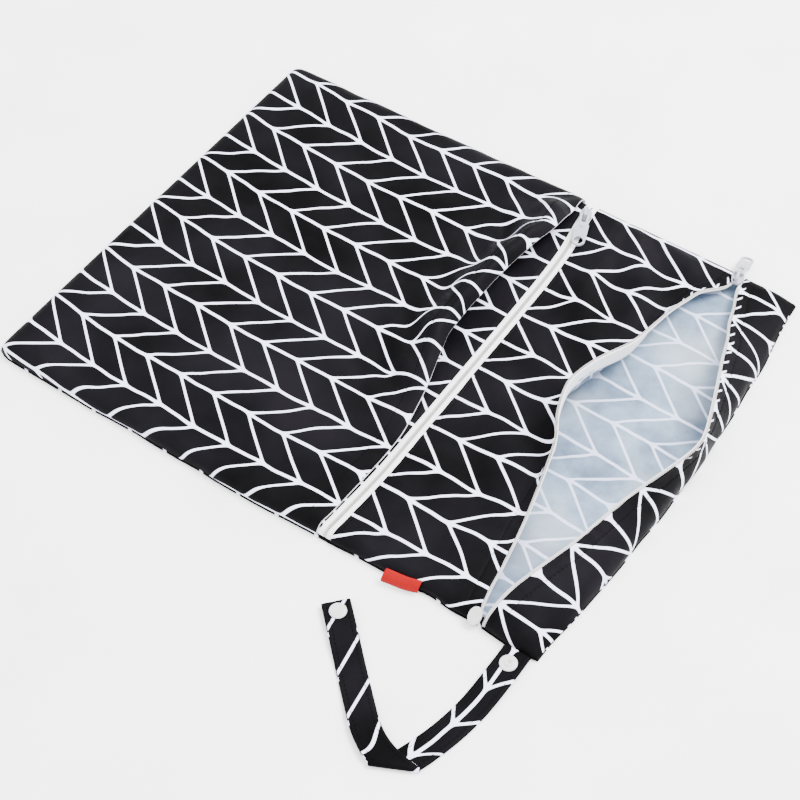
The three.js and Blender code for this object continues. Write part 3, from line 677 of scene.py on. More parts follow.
def print_lines(nodes, u, v, cloth):
    """Share of print line at a place: stems at every spacing, and slanting leaves that follow a
    triangle wave from stem to stem. The nearer of the two distances is kept, rounded at corners."""
    wobble = nodes.remap(nodes.noise(22, 2), 0.3, 0.7, -PRINT_WOBBLE, PRINT_WOBBLE)
    stem_share = (u + wobble) / cloth.stem_spacing
    stem = from_whole(stem_share) * cloth.stem_spacing - cloth.stem_width / 2
    leaf_v = v - stem_share.math("PINGPONG", 1.0) * cloth.leaf_rise
    slant = math.cos(math.atan2(cloth.leaf_rise, cloth.stem_spacing))
    leaf = from_whole((leaf_v + wobble) / cloth.leaf_pitch) * (cloth.leaf_pitch * slant)
    nearest = stem.math("SMOOTH_MIN", leaf - cloth.leaf_width / 2, PRINT_CORNER)
    return nodes.remap(nearest, PRINT_EDGE, -PRINT_EDGE)


def hem_ticks(nodes, u):
    """Share of the slanting ticks where the print goes round the gathered hem: one every tick
    spacing within 3 mm of the edge, on the far side and the middle of the bag."""
    distance = nodes.output("ShaderNodeAttribute", "Fac", {}, attribute_name="hem")
    place = (u + distance * TICK_SLANT) / TICK_SPACING
    from_tick = (place.math("FRACT") - 0.5).math("ABSOLUTE")
    tick = nodes.remap(from_tick, 0.12, 0.07) * nodes.remap(distance, 3.4, 2.8)
    return tick * nodes.remap(u, 25, 5)


def printed_fabric(name, cloth, offset, hem=False):
    """Black polyester with the pale line print: fine weave, broad paler patches painted into the ground as
    satin sheen with a little random tone, and little real gloss.
    """
    nodes = Nodes(name)
    u, v = nodes.cloth_place(offset)
    line = print_lines(nodes, u, v, cloth)
    if hem:
        line = line.math("MAXIMUM", hem_ticks(nodes, u))
    # cloud: broad paler patches up to five times the ground's colour, and slightly darker lines there:
    # painted satin sheen, with a little random tone
    cloud = nodes.remap(nodes.noise(16, 4), 0.35, 0.7)
    ground = nodes.mix(cloud, shade(cloth.fabric_color), shade(cloth.fabric_color, 5))
    ink = nodes.mix(cloud, shade(cloth.line_color), shade(cloth.line_color, 0.93))
    weave = u.wave(0.55) * v.wave(0.45)
    nodes.bump(weave * 0.35 + nodes.noise(700, 2) * 0.8 + line * 0.25, 0.35, 0.00012)
    gloss = nodes.remap(nodes.noise(90), 0.3, 0.7, 0.44, 0.62)
    return nodes.finish(Base_Color=nodes.mix(line, ground, ink), Roughness=gloss, Specular_IOR_Level=0.02)


def lining(name, cloth, offset):
    """Coated inner face: cloudy pale blue, with the print showing faintly through."""
    nodes = Nodes(name)
    u, v = nodes.cloth_place(offset)
    line = print_lines(nodes, u, v, cloth) * 0.72
    cloud = nodes.remap(nodes.noise(24, 6, 0.65), 0.36, 0.64)
    warm = nodes.remap(nodes.noise(15, 2), 0.48, 0.7, 0.0, 0.7)
    blue = nodes.mix(cloud, shade(cloth.lining_color, 0.72), (0.19, 0.26, 0.35, 1))
    ground = nodes.mix(warm, blue, (0.30, 0.34, 0.37, 1))
    color = nodes.mix(line, ground, (0.58, 0.62, 0.80, 1))
    weave = u.wave(0.7) * v.wave(0.6)
    nodes.bump(weave * 0.4 + nodes.noise(900, 2), 0.25, 0.00012)
    gloss = nodes.remap(nodes.noise(60), 0.3, 0.7, 0.36, 0.5)
    return nodes.finish(Base_Color=color, Roughness=gloss, Specular_IOR_Level=0.3)


def hem_edge():
    """Folded edge of the cloth, where the pale reverse shows."""
    nodes = Nodes("hem_edge")
    tint = nodes.remap(nodes.noise(500), 0.3, 0.7)
    color = nodes.mix(tint, (0.50, 0.50, 0.52, 1), (0.34, 0.34, 0.36, 1))
    nodes.bump(nodes.noise(1500, 2), 0.4, 0.0001)
    return nodes.finish(Base_Color=color, Roughness=0.7)


def woven_tape(zipper):
    """Zipper tape: ribs along it, and a groove beside the coil whose colour is darkened there as painted
    shade.
    """
    nodes = Nodes("zipper_tape")
    u, v = nodes.cloth_place()
    # the groove also darkens the tape's colour beside the coil: painted shade in the recess
    groove = nodes.remap((v - 0.45).math("ABSOLUTE"), 0.16, 0.3, 1.0, 0.0)
    worn = nodes.remap(nodes.noise(180, 4), 0.35, 0.7, 0.0, 0.35)
    cloth = nodes.mix(worn, shade(zipper.tape_color), shade(zipper.tape_color, 0.86))
    color = nodes.mix(groove, cloth, shade(zipper.tape_color, 0.45))
    relief = v.wave(0.8) * 0.5 + u.wave(0.6) * 0.3
    nodes.bump(relief - groove * 1.5, 0.5, 0.00015)
    return nodes.finish(Base_Color=color, Roughness=0.82, Specular_IOR_Level=0.3, Sheen_Weight=0.1)


def grained(name, color, roughness, grain=500, depth=0.00006, **inputs):
    """A moulded, cast or spun surface: slight colour change, fine grain and uneven gloss."""
    nodes = Nodes(name)
    cloud = nodes.remap(nodes.noise(grain / 4), 0.3, 0.7)
    gloss = nodes.remap(nodes.noise(grain, 2), 0.3, 0.7, roughness - 0.06, roughness + 0.08)
    nodes.bump(nodes.noise(grain * 2), 0.3, depth)
    return nodes.finish(
        Base_Color=nodes.mix(cloud, shade(color), shade(color, 0.9)), Roughness=gloss, **inputs)


def tag_satin(cloth):
    """Red woven tag: fine ribs across it."""
    nodes = Nodes("red_tag_satin")
    u, v = nodes.cloth_place()
    worn = nodes.remap(nodes.noise(300), 0.35, 0.7, 0.0, 0.4)
    color = nodes.mix(worn, shade(cloth.tag_color), shade(cloth.tag_color, 0.72))
    nodes.bump(u.wave(0.5) + u.wave(0.9) * v.wave(0.4), 0.35, 0.0001)
    return nodes.finish(Base_Color=color, Roughness=0.6, Specular_IOR_Level=0.1)


def material(name, make, *facts):
    """The named material, made the first time it is asked for."""
    return bpy.data.materials.get(name) or make(*facts)


def fabric_set(part, offset, cloth, hem=False):
    """Outer print, inner face and hem edge of one panel."""
    outer = printed_fabric(f"print_{part}", cloth, offset, hem)
    return [outer, lining(f"lining_{part}", cloth, offset), material("hem_edge", hem_edge)]


def stand_for(piece, node):
    """Hides the frame node that a piece replaces."""
    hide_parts(node)


def declare(piece, node, uv):
    """Hides the frame node that a cloth piece replaces and works out the area of its flat place,
    by the cross product of the flat quads' diagonals."""
    stand_for(piece, node)
    first = uv[1:, 1:] - uv[:-1, :-1]
    second = uv[:-1, 1:] - uv[1:, :-1]
    area = np.abs(first[..., 0] * second[..., 1] - first[..., 1] * second[..., 0]).sum() / 2 * MM * MM


# Panels


def panel(name, node, middle, cloth, materials, rests_on, held="laid", drift=0, **rim):
    """One cloth panel around its middle points, its print drawn drift mm off the flat place."""
    uv = cloth_uv(middle)
    piece = shell(name, middle, cloth.wall, uv - drift, materials, **rim)
    declare(piece, node, uv)
    return piece


def back_middle():
    """Flat back: straight across, its ends on the bottom and top seams."""
    stations = across(BACK_STATIONS, OUTER_ROLL)
    share = np.linspace(0, 1, BACK_ROWS)[None, :]
    y = BOTTOM_SEAM + (top_seam(x_at_height(stations, 0, 0)) - BOTTOM_SEAM) * share
    x = place_across(stations, y, 0)
    wrinkle = 0.5 + 0.35 * noise(x, y, 48, 31) + 0.15 * noise(x, y, 17, 32)
    z = CLOTH_SPACE / 2 + 0.9 * wrinkle * smooth(seam_distance(x, y) / 40)
    return np.stack([x, y, z], -1)


def bottom_rise(radius, bottom):
    """Heights above the bottom seam on its rolled edge."""
    return bottom + radius * (1 - np.cos(np.linspace(0, np.pi / 2, 7)[:-1]))


def inner_middle():
    """Inner front layer under the slip pocket, from the bottom seam to the lower zipper."""
    stations = across(INNER_STATIONS, INNER_ROLL)
    bottom = BOTTOM_SEAM + INNER_INSET
    top = lower_zipper(x_at_height(stations, 0, INNER_INSET)) - CLOTH_EDGE
    rolled = np.broadcast_to(bottom_rise(INNER_ROLL, bottom), (len(stations), 6))
    even = bottom + INNER_ROLL + (top - bottom - INNER_ROLL) * np.linspace(0, 1, INNER_ROWS)
    y = np.concatenate([rolled, even], 1)
    x = place_across(stations, y, INNER_INSET)
    share = side_roll(x, y, INNER_INSET, INNER_ROLL) * roll(y - bottom, INNER_ROLL)
    sunk = 0.6 * (drape(x, y) - 0.8) * smooth((y - bottom) / 20) * smooth((top - y - 9) / 12)
    return np.stack([x, y, on_seam(STRIP_Z + np.minimum(sunk, 0.5), share)], -1)


def pocket_bulge(back):
    """Share of the crest's height at a distance back from the rim: a sine up to the fold's top,
    then a power of a cosine down to its foot."""
    up = RIM_SHARE + (FOLD_SHARE - RIM_SHARE) * np.sin(np.pi / 2 * np.clip(back / FOLD_SETBACK, 0, 1))
    down = 0.5 * (1 + np.cos(np.pi * np.clip((back - FOLD_SETBACK) / FOLD_FOOT, 0, 1)))
    return np.where(back <= FOLD_SETBACK, up, FOLD_SHARE * down**1.25)


def pocket_folds(x, back):
    """Rise of the slip pocket's soft folds: slanting flutes behind the crest, and short
    puckers at its stitched hem."""
    flute = np.sin(2 * np.pi * (x + 0.9 * back) / 33 + 1.6 * noise(x, back, 50, 5))
    envelope = bump(back - 24, 18) * smooth((back - 2) / 12)
    hem = 0.6 * noise(x, 0.2 * back, 9, 12) * bump(back - 6, 7)
    groove = -0.35 * bump(back - HEM_STITCH, GROOVE_WIDTH)
    return 1.9 * flute * envelope + hem + groove


def front_middle():
    """Slip pocket's panel, from the bottom seam over its bulge to the rim."""
    stations = across(POCKET_STATIONS, OUTER_ROLL)
    bottom = BOTTOM_SEAM + OUTER_INSET
    rim = pocket_rim(x_at_height(stations, 0))
    foot = rim - FOLD_SETBACK - FOLD_FOOT
    rolled = np.broadcast_to(bottom_rise(OUTER_ROLL, bottom), (len(stations), 6))
    even = bottom + OUTER_ROLL + (foot - bottom - OUTER_ROLL) * np.linspace(0, 1, POCKET_ROWS)[:-1]
    bulge = foot + (rim - foot) * np.linspace(0, 1, BULGE_ROWS)
    y = np.concatenate([rolled, even, bulge], 1)
    x = place_across(stations, y, OUTER_INSET)
    share = side_roll(x, y, OUTER_INSET, OUTER_ROLL) * roll(y - bottom, OUTER_ROLL)
    back = rim - y
    crest = pocket_crest(x)
    folds = pocket_folds(x, back) * smooth(crest / 8) * smooth(edge_distance(x, y) / 20)
    rise = crest * pocket_bulge(back) + drape(x, y) * smooth((y - bottom) / 20) + folds
    return np.stack([x, y, on_seam(POCKET_Z + rise, share)], -1)


def print_drift(points):
    """Drift of the slip pocket's print in mm, as the photo shows it: quadratic in the place along
    and across, and level towards the rim."""
    s = points[..., 0] / 100
    t = np.minimum((points[..., 1] + 90) / 100, 1)
    drift_u = 1.45 - 3.65 * s + 3.97 * t - 0.56 * s * t - 3.88 * t**2 - 0.82 * s**2
    drift_v = 0.82 + 1.09 * s - 2.43 * t - 3.98 * t**2
    return np.stack([drift_u, drift_v], -1)


def strip_section(x):
    """Section of the strip between the zippers: (start, length of the flat, angle, length).

    It runs flat, turns up on an arc and goes on straight to the edge of the open zipper.
    """
    start = lower_zipper(x)
    edge = UPPER_ZIPPER_Y - GAP / 2 - LIP_DIP * mouth(x, DIP)
    lift = np.maximum(MOUTH_HEIGHT * mouth(x, LIFT), 0.2)
    arc_rise = np.minimum(STEEPEST_TURN * LIP_RADIUS, TURN_SHARE * lift)
    angle = np.arccos(1 - arc_rise / LIP_RADIUS)
    straight = (lift - arc_rise) / np.sin(angle)
    flat = edge - start - LIP_RADIUS * np.sin(angle) - straight * np.cos(angle)
    return start, flat, angle, flat + LIP_RADIUS * angle + straight


def strip_points(stations, s):
    """Points of the strip at distances s from the lower zipper's middle line."""
    start, flat, angle, _ = strip_section(x_at_height(stations))
    turned = np.clip((s - flat) / LIP_RADIUS, 0, angle)
    beyond = np.maximum(s - flat - LIP_RADIUS * angle, 0)
    y = start + np.minimum(s, flat) + LIP_RADIUS * np.sin(turned) + beyond * np.cos(angle)
    z = STRIP_Z + LIP_RADIUS * (1 - np.cos(turned)) + beyond * np.sin(angle)
    x = place_across(stations, y, OUTER_INSET)
    return np.stack([x, y, on_seam(z, side_roll(x, y, OUTER_INSET, OUTER_ROLL))], -1)


def strip_length(stations):
    return strip_section(x_at_height(stations))[-1]


def zipper_puckers(x, back, seed, depth=0.6):
    """Short flutes where the cloth is gathered on the zipper tape, dying out away from it."""
    return depth * noise(x, 0.15 * back, 3.6, seed) * np.exp(-np.maximum(back - HEM_EDGE, 0) / 9)


def push_out(points, rise):
    """Moves a grid of points along its normals."""
    return points + grid_normals(points) * rise[..., None]


def strip_middle():
    """Strip between the zippers with its slack, its puckers at both zippers and the hem groove,
    and each point's distance from its hem at the open zipper."""
    stations = across(HEM_STATIONS, OUTER_ROLL)
    length = strip_length(stations)
    last = length - HEM_EDGE
    s = CLOTH_EDGE + (last - CLOTH_EDGE) * np.linspace(0, 1, STRIP_ROWS)[None, :]
    points = strip_points(stations, s)
    x, y = points[..., 0], points[..., 1]
    calm = smooth(edge_distance(x, y) / 10)
    back = length - s
    slack = drape(x, y) * smooth((s - 13) / 14) * smooth((back - 14) / 16)
    ripple = 1.1 * np.sin(2 * np.pi * (x - 0.8 * y) / 52 + noise(x, y, 45, 9)) * bump(s - 46, 30)
    grooves = (bump(back - HEM_EDGE - LIP_STITCH, GROOVE_WIDTH)
               + bump(s - CLOTH_EDGE - ZIPPER_STITCH, GROOVE_WIDTH))
    rise = slack + ripple * smooth(edge_distance(x, y) / 30) - GROOVE_DEPTH * grooves
    rise = rise + zipper_puckers(x, back, 14) + zipper_puckers(x, s, 15, 0.35)
    return push_out(points, rise * calm), last - s


def band_chord(x):
    """Chord of the top band's section: (its end at the top seam, reach, rise), to the edge of
    the open zipper."""
    seam_y = top_seam(x) - OUTER_INSET
    reach = UPPER_ZIPPER_Y + GAP / 2 + BAND_REACH * mouth(x, REACH) - seam_y
    return seam_y, reach, STRIP_Z + MOUTH_HEIGHT * mouth(x, RISE) - SEAM_Z


def band_points(stations, back):
    """Points of the top band at distances back from the edge of the open zipper, on the chord to
    the top seam raised by a belly: a cubic that is 1 at a third of the way."""
    guess = x_at_height(stations)
    seam_y, chord_y, chord_z = band_chord(guess)
    chord = np.hypot(chord_y, chord_z)
    t = 1 - back / chord
    belly = BAND_WIDTH * mouth(guess, BULGE) * 6.75 * t * (1 - t) ** 2
    y = seam_y + chord_y * t + chord_z / chord * belly
    z = SEAM_Z + chord_z * t - chord_y / chord * belly
    held = np.minimum(y, HALF_LENGTH)
    x = place_across(stations, held, OUTER_INSET)
    return np.stack([x, y, on_seam(z, side_roll(x, held, OUTER_INSET, OUTER_ROLL))], -1)


def band_length(stations):
    return np.hypot(*band_chord(x_at_height(stations))[1:])


def band_middle():
    """Top band from the zipper's edge to the top seam, puckered at the zipper, and each point's
    distance from its hem."""
    stations = across(HEM_STATIONS, OUTER_ROLL)
    length = band_length(stations)
    back = HEM_EDGE + (length - HEM_EDGE) * np.sin(np.pi / 2 * np.linspace(0, 1, BAND_ROWS))
    points = band_points(stations, back)
    x, y = points[..., 0], points[..., 1]
    calm = smooth(edge_distance(x, y) / 10) * smooth((length - back) / 4)
    slack = 0.7 * noise(x, back, 34, 41) + 0.4 * noise(x, back, 14, 42)
    groove = -GROOVE_DEPTH * bump(back - HEM_EDGE - LIP_STITCH, GROOVE_WIDTH)
    rise = slack * smooth((back - 13) / 10) + groove + zipper_puckers(x, back, 16)
    return push_out(points, rise * calm), back - HEM_EDGE


# Strap and tag


def strap_route():
    """Middle line of the strap and its direction across: arrays (points, across).

    Headings in degrees bend the first leg, the strap is folded over on a slanting line and the
    second leg comes down on the surface. Near the fold the rows lean until they lie along it.
    """
    t = np.linspace(0, 1, STRAP_STEPS + 1)
    first = np.radians(-STRAP_LEAN * t**1.6)
    second = np.radians(-STRAP_RETURN[0] - STRAP_RETURN[1] * smooth(t / 0.34))
    fold_line = (first[-1] + second[0]) / 2
    skew = 1 / math.tan(fold_line - first[-1])
    low = STRAP_SPACE / 2
    raised = low + SNAP_DEPTH + 2 * GAP
    fold_radius = (STRAP_SPACE + STRAP_FOLD_GAP) / 2
    root_edges = near_side(STRAP_ROOT_Y + STRAP_WIDTH * np.array([-0.5, 0, 0.5]))
    root = np.array([root_edges.max() + 2 * GAP, STRAP_ROOT_Y])

    def leg(heading, length, lean, side, place, z):
        direction = np.stack([np.cos(heading), np.sin(heading)], 1)
        walked = np.cumsum(np.vstack([np.zeros(2), direction[:-1] * length / STRAP_STEPS]), 0)
        sideways = np.stack([-direction[:, 1], direction[:, 0]], 1) * side
        return (np.column_stack([place + walked, z]),
                np.column_stack([sideways + direction * lean[:, None], np.zeros(STRAP_STEPS + 1)]))

    z_first = raised + (low - raised) * smooth((t - 0.18) / 0.3)
    leg_a, across_a = leg(first, STRAP_FIRST_LEG, skew * smooth((t - 0.7) / 0.28), 1, root, z_first)
    end = leg_a[-1]
    outward = np.array([-math.sin(fold_line), math.cos(fold_line)])
    outward = outward * np.sign(outward @ np.array([math.cos(first[-1]), math.sin(first[-1])]))
    turn = np.radians(np.arange(15, 180, 15))
    fold = np.column_stack([
        end[0] + outward[0] * fold_radius * np.sin(turn),
        end[1] + outward[1] * fold_radius * np.sin(turn),
        low + fold_radius * (1 - np.cos(turn)),
    ])
    high = low + 2 * fold_radius
    z_second = high + (low - high) * smooth((t - 0.24) / 0.3)
    z_second = z_second + (raised - z_second) * smooth((t - 0.6) / 0.22)
    leg_b, across_b = leg(second, STRAP_SECOND_LEG, skew * (1 - smooth(t / 0.26)), -1, end[:2], z_second)
    points = np.vstack([leg_a, fold, leg_b])
    sideways = np.vstack([across_a, np.repeat(across_a[-1:], len(turn), 0), across_b])
    return points, sideways


def strap_middle():
    """Middle of the strap with a faint ripple inside its edges, and its flat places."""
    points, sideways = strap_route()
    share = np.linspace(-0.5, 0.5, 13)
    middle = points[:, None] + sideways[:, None] * (share * STRAP_WIDTH)[None, :, None]
    along = curve_lengths(points)
    ripple = 0.18 * noise(along, 0 * along, 6, 71)[:, None] * (1 - (2 * share) ** 2)
    uv = np.stack(np.broadcast_arrays((share * STRAP_WIDTH)[None, :], along[:, None]), -1)
    return push_out(middle, ripple), uv


def tag_middle():
    """Middle of the tag: an elliptic bend over the near seam, curled by a sine and askew."""
    lift = CLOTH_SPACE / 2 + GAP + TAG_SPACE / 2
    angle = np.radians(np.linspace(33, 90, 22))[:, None]
    y = TAG_Y + TAG_LENGTH * np.linspace(-0.5, 0.5, 24)[None, :]
    out = near_side(y) - OUTER_INSET - OUTER_ROLL + (OUTER_ROLL + lift + TAG_FLARE) * np.sin(angle)
    z = SEAM_Z + (STRIP_Z - SEAM_Z + lift) * np.cos(angle)
    curl = 0.25 * np.sin((y - TAG_Y) / TAG_LENGTH * 5) * (angle / angle.max())
    askew = TAG_SKEW * (0.5 - (y - TAG_Y) / TAG_LENGTH) * smooth(0.3 + angle / angle.max())
    return np.stack(np.broadcast_arrays(out + curl + askew, y, z), -1)


# Zippers, rows of stitches and small pieces


def row_of(middle, wall, share):
    """Curve across a sheet at a share of the way along its rows, on its outer face, with the
    sheet's normals there. The share may differ from station to station."""
    normal = grid_normals(middle)
    place = np.broadcast_to(share, (len(middle), 1))[:, 0] * (middle.shape[1] - 1)
    low = np.clip(place.astype(int), 0, middle.shape[1] - 2)
    part = (place - low)[:, None]
    station = np.arange(len(middle))
    curve = middle[station, low] * (1 - part) + middle[station, low + 1] * part
    normal = normal[station, low] * (1 - part) + normal[station, low + 1] * part
    return curve + normal * wall / 2, normal


def coil_turns(edge, inward, normal, offset, half_across, zipper):
    """Points and faces of one nylon coil along an edge: a flattened screw that turns once every
    pitch, swept by a round wire."""
    turns = int(curve_lengths(edge)[-1] / zipper.coil_pitch)
    at = np.linspace(0, turns * zipper.coil_pitch, turns * 10 + 1)
    angle = 2 * np.pi * at[:, None] / zipper.coil_pitch
    centre, aside, up = (read_along(edge, values, at) for values in (edge, inward, normal))
    path = (centre + aside * (offset + half_across * np.cos(angle))
            + up * (COIL_HALF_HEIGHT * np.sin(angle)))
    return tube(path, unit(np.gradient(centre, axis=0)), zipper.coil_wire, 5)


def joined(parts):
    """Points and faces of several pieces put into one list."""
    points, faces, count = [], [], 0
    for some_points, some_faces in parts:
        points.append(some_points)
        faces += [[index + count for index in face] for face in some_faces]
        count += len(some_points)
    return np.concatenate(points), faces


def add_coil(name, node, zipper, parts):
    finish = material("coil", grained, "coil", zipper.coil_color, 0.45)
    stand_for(new_piece(name, *joined(parts), [finish]), node)


def closed_points(stations, aside):
    """Points of the closed zipper at distances aside from its middle line."""
    y = lower_zipper(x_at_height(stations, LOWER_ZIPPER_Y)) + aside
    x = place_across(stations, y, OUTER_INSET)
    return np.stack([x, y, on_seam(STRIP_Z + 0 * y, side_roll(x, y, OUTER_INSET, OUTER_ROLL))], -1)


def edge_frame(points_at, stations, aside, slider):
    """Edge line at a distance aside, from the slider on, with unit vectors into the sheet and
    out of its face."""
    near = points_at(stations, np.array([[aside - 0.5, aside, aside + 0.5]]))
    ahead = near[:, 1, 0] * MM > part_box(slider)[1].x
    return near[ahead, 1], unit(near[:, 2] - near[:, 0])[ahead], grid_normals(near)[ahead, 1]


def lip_points(stations, back):
    """Points of the lip at distances back from its edge."""
    return strip_points(stations, strip_length(stations) - back)


def tape(name, node, points_at, stations, zipper, reverse=False):
    """Adds one half of a zipper tape, under the cloth: it starts beside the coil and its selvage
    waves a little."""
    x = x_at_height(stations)
    full = zipper.tape_width * (1 + 0.05 * np.sin(x / 9) + 0.06 * noise(x, 0 * x, 13, 51))
    back = TAPE_START + (full - TAPE_START) * np.linspace(0, 1, TAPE_ROWS)[None, :]
    middle = points_at(stations, -back if reverse else back)
    uv = np.stack([np.broadcast_to(cumulative(middle, 0)[:, :1], back.shape), back], -1)
    if points_at is lip_points or reverse:
        middle, uv = middle[:, ::-1], uv[:, ::-1]
    woven = material("zipper_tape", woven_tape, zipper)
    piece = shell(name, middle - grid_normals(middle) * TAPE_SUNK, zipper.tape_wall, uv, [woven, woven])
    declare(piece, node, uv)


def turned_piece(name, profile, centre, finish, sides=64):
    """A profile of (radius, height) turned about the upright axis through a centre; both of its
    ends lie on the axis."""
    angle = np.linspace(0, 2 * np.pi, sides, endpoint=False)
    ring = np.stack([-np.cos(angle), -np.sin(angle), 0 * angle], 1)
    radius, height = profile.T
    axis = np.array([0.0, 0.0, 1.0])
    points = centre + ring * radius[1:-1, None, None] + axis * height[1:-1, None, None]
    index = np.arange(points[..., 0].size).reshape(points.shape[:2])
    first, last = index.size, index.size + 1
    caps = [[first, b, a] for a, b in zip(index[0], np.roll(index[0], -1))]
    caps += [[last, a, b] for a, b in zip(index[-1], np.roll(index[-1], -1))]
    ends = [centre + axis * height[0], centre + axis * height[-1]]
    points = np.concatenate([points.reshape(-1, 3), ends])
    return new_piece(name, points, ring_quads(index) + caps, [finish])


def rounded_profile(corners, radius, steps=4):
    """A profile of corners with each inner corner rounded: a quadratic curve from radius before
    it to radius after it, or to half way where the next corner is nearer."""
    corners = np.asarray(corners, float)
    out = [corners[:1]]
    t = np.linspace(0, 1, steps)[:, None]
    for before, here, after in zip(corners, corners[1:], corners[2:]):
        a, b = before - here, after - here
        a = here + a * min(0.5, radius / max(np.linalg.norm(a), 1e-9))
        b = here + b * min(0.5, radius / max(np.linalg.norm(b), 1e-9))
        out.append(a * (1 - t) ** 2 + 2 * here * t * (1 - t) + b * t**2)
    return np.concatenate([*out, corners[-1:]])


def refined(node, name, round_mm, finish, body):
    """Adds a copy of a frame solid: corners merged, flat faces made whole, edges rounded."""
    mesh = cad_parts[node].data.copy()
    work = bmesh.new()
    work.from_mesh(mesh)
    bmesh.ops.remove_doubles(work, verts=work.verts, dist=1e-6)
    bmesh.ops.dissolve_limit(work, angle_limit=math.radians(2), verts=work.verts, edges=work.edges)
    bmesh.ops.recalc_face_normals(work, faces=work.faces)
    for face in work.faces:
        face.smooth = True
    work.to_mesh(mesh)
    work.free()
    mesh.materials.clear()
    mesh.materials.append(finish)
    piece = bpy.data.objects.new(name, mesh)
    bpy.context.scene.collection.objects.link(piece)
    rounding = piece.modifiers.new("rounded edges", "BEVEL")
    rounding.width = round_mm * MM
    rounding.segments = 3
    rounding.limit_method = "ANGLE"
    rounding.angle_limit = math.radians(35)
    piece.modifiers.new("flat faces", "WEIGHTED_NORMAL")
    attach(piece, body)
    stand_for(piece, node)


# Operators: each builds one piece or a group of like pieces


class WETBAG_OT_back_panel(bpy.types.Operator):
    """Build the flat back, printed outside and lined inside"""

    bl_idname = "wetbag.back_panel"
    bl_label = "Back panel"

    def execute(self, context):
        cloth = context.scene.wet_bag_cloth
        materials = fabric_set("back", (5, 13.5), cloth)
        piece = panel("back", "back_panel", back_middle(), cloth, materials, [], edge=2)
        # the upper face is lined, and the print goes round the rim up to the side seams
        faces = piece.data.polygons
        kind = np.zeros(len(faces), np.int32)
        centre = np.zeros(len(faces) * 3, np.float32)
        faces.foreach_get("material_index", kind)
        faces.foreach_get("center", centre)
        x, y, _ = centre.reshape(-1, 3).T / MM
        lined = (kind == 0) & (seam_distance(x, y) > SEAM_ALLOWANCE)
        faces.foreach_set("material_index", lined.astype(np.int32))
        return {"FINISHED"}


class WETBAG_OT_inner_panel(bpy.types.Operator):
    """Build the layer under the slip pocket"""

    bl_idname = "wetbag.inner_panel"
    bl_label = "Inner panel"

    def execute(self, context):
        cloth = context.scene.wet_bag_cloth
        materials = fabric_set("inner", (11.3, 12.8), cloth)
        panel("inner_layer", "inner_panel", inner_middle(), cloth, materials, ["back"])
        return {"FINISHED"}


class WETBAG_OT_slip_pocket(bpy.types.Operator):
    """Build the slip pocket's bulging panel with its stitched hem"""

    bl_idname = "wetbag.slip_pocket"
    bl_label = "Slip pocket"

    def execute(self, context):
        cloth = context.scene.wet_bag_cloth
        middle = front_middle()
        materials = fabric_set("pocket", (-15, -3), cloth)
        panel("slip_pocket", "front_panel", middle, cloth, materials, ["inner_layer"],
              drift=print_drift(middle), edge=2)
        return {"FINISHED"}


class WETBAG_OT_middle_strip(bpy.types.Operator):
    """Build the strip between the zippers and its raised lip"""

    bl_idname = "wetbag.middle_strip"
    bl_label = "Strip and lip"

    def execute(self, context):
        cloth = context.scene.wet_bag_cloth
        middle, hem = strip_middle()
        materials = fabric_set("strip", (-6.7, -18.7), cloth, hem=True)
        panel("strip", "middle_strip", middle, cloth, materials, ["back"], hem=hem)
        return {"FINISHED"}


class WETBAG_OT_top_band(bpy.types.Operator):
    """Build the band between the open zipper and the top seam"""

    bl_idname = "wetbag.top_band"
    bl_label = "Top band"

    def execute(self, context):
        cloth = context.scene.wet_bag_cloth
        middle, hem = band_middle()
        materials = fabric_set("band", (8.7, 1.3), cloth, hem=True)
        panel("band", "top_band", middle, cloth, materials, ["back"], held="hung", hem=hem)
        return {"FINISHED"}


class WETBAG_OT_closed_zipper(bpy.types.Operator):
    """Build the closed zipper: two tapes and two coils that mesh"""

    bl_idname = "wetbag.closed_zipper"
    bl_label = "Closed zipper"

    def execute(self, context):
        zipper = context.scene.wet_bag_zipper
        stations = across(CLOSED_STATIONS, OUTER_ROLL)
        for side, carrier in (("left", "inner_layer"), ("right", "strip")):
            tape(f"closed_tape_{side}", f"lower_tape_{side}", closed_points, stations, zipper,
                 reverse=side == "left")
        rows = edge_frame(closed_points, stations, 0, "lower_slider")
        add_coil("closed_coil", "lower_coil", zipper,
                 [coil_turns(*rows, offset, 0.62, zipper) for offset in (-MESHED_OFFSET, MESHED_OFFSET)])
        return {"FINISHED"}


class WETBAG_OT_open_zipper(bpy.types.Operator):
    """Build the two halves of the open zipper on the lip and on the band"""

    bl_idname = "wetbag.open_zipper"
    bl_label = "Open zipper"

    def execute(self, context):
        zipper = context.scene.wet_bag_zipper
        stations = across(OPEN_STATIONS, OUTER_ROLL)
        for side, points_at, carrier in (("left", lip_points, "strip"), ("right", band_points, "band")):
            tape(f"open_tape_{side}", f"upper_tape_{side}", points_at, stations, zipper)
            rows = edge_frame(points_at, stations, COIL_WIDTH / 2, "upper_slider")
            add_coil(f"open_coil_{side}", f"upper_coil_{side}", zipper, [coil_turns(*rows, 0, 0.68, zipper)])
        return {"FINISHED"}


class WETBAG_OT_sliders(bpy.types.Operator):
    """Round the edges of both sliders, their pulls and the end stop, and give them enamel"""

    bl_idname = "wetbag.sliders"
    bl_label = "Sliders and pulls"

    def execute(self, context):
        zipper = context.scene.wet_bag_zipper
        enamel = material("enamel", grained, "enamel", zipper.enamel_color, 0.32)
        resin = material("end_stop", grained, "end_stop", zipper.snap_color, 0.4)
        for place in ("lower", "upper"):
            refined(f"{place}_slider", f"{place}_slider_body", 0.25, enamel, BODY)
            refined(f"{place}_pull", f"{place}_pull_tab", 0.3, enamel, f"{place}_pull")
        refined("upper_end_stop", "zipper_end", 0.45, resin, BODY)
        return {"FINISHED"}


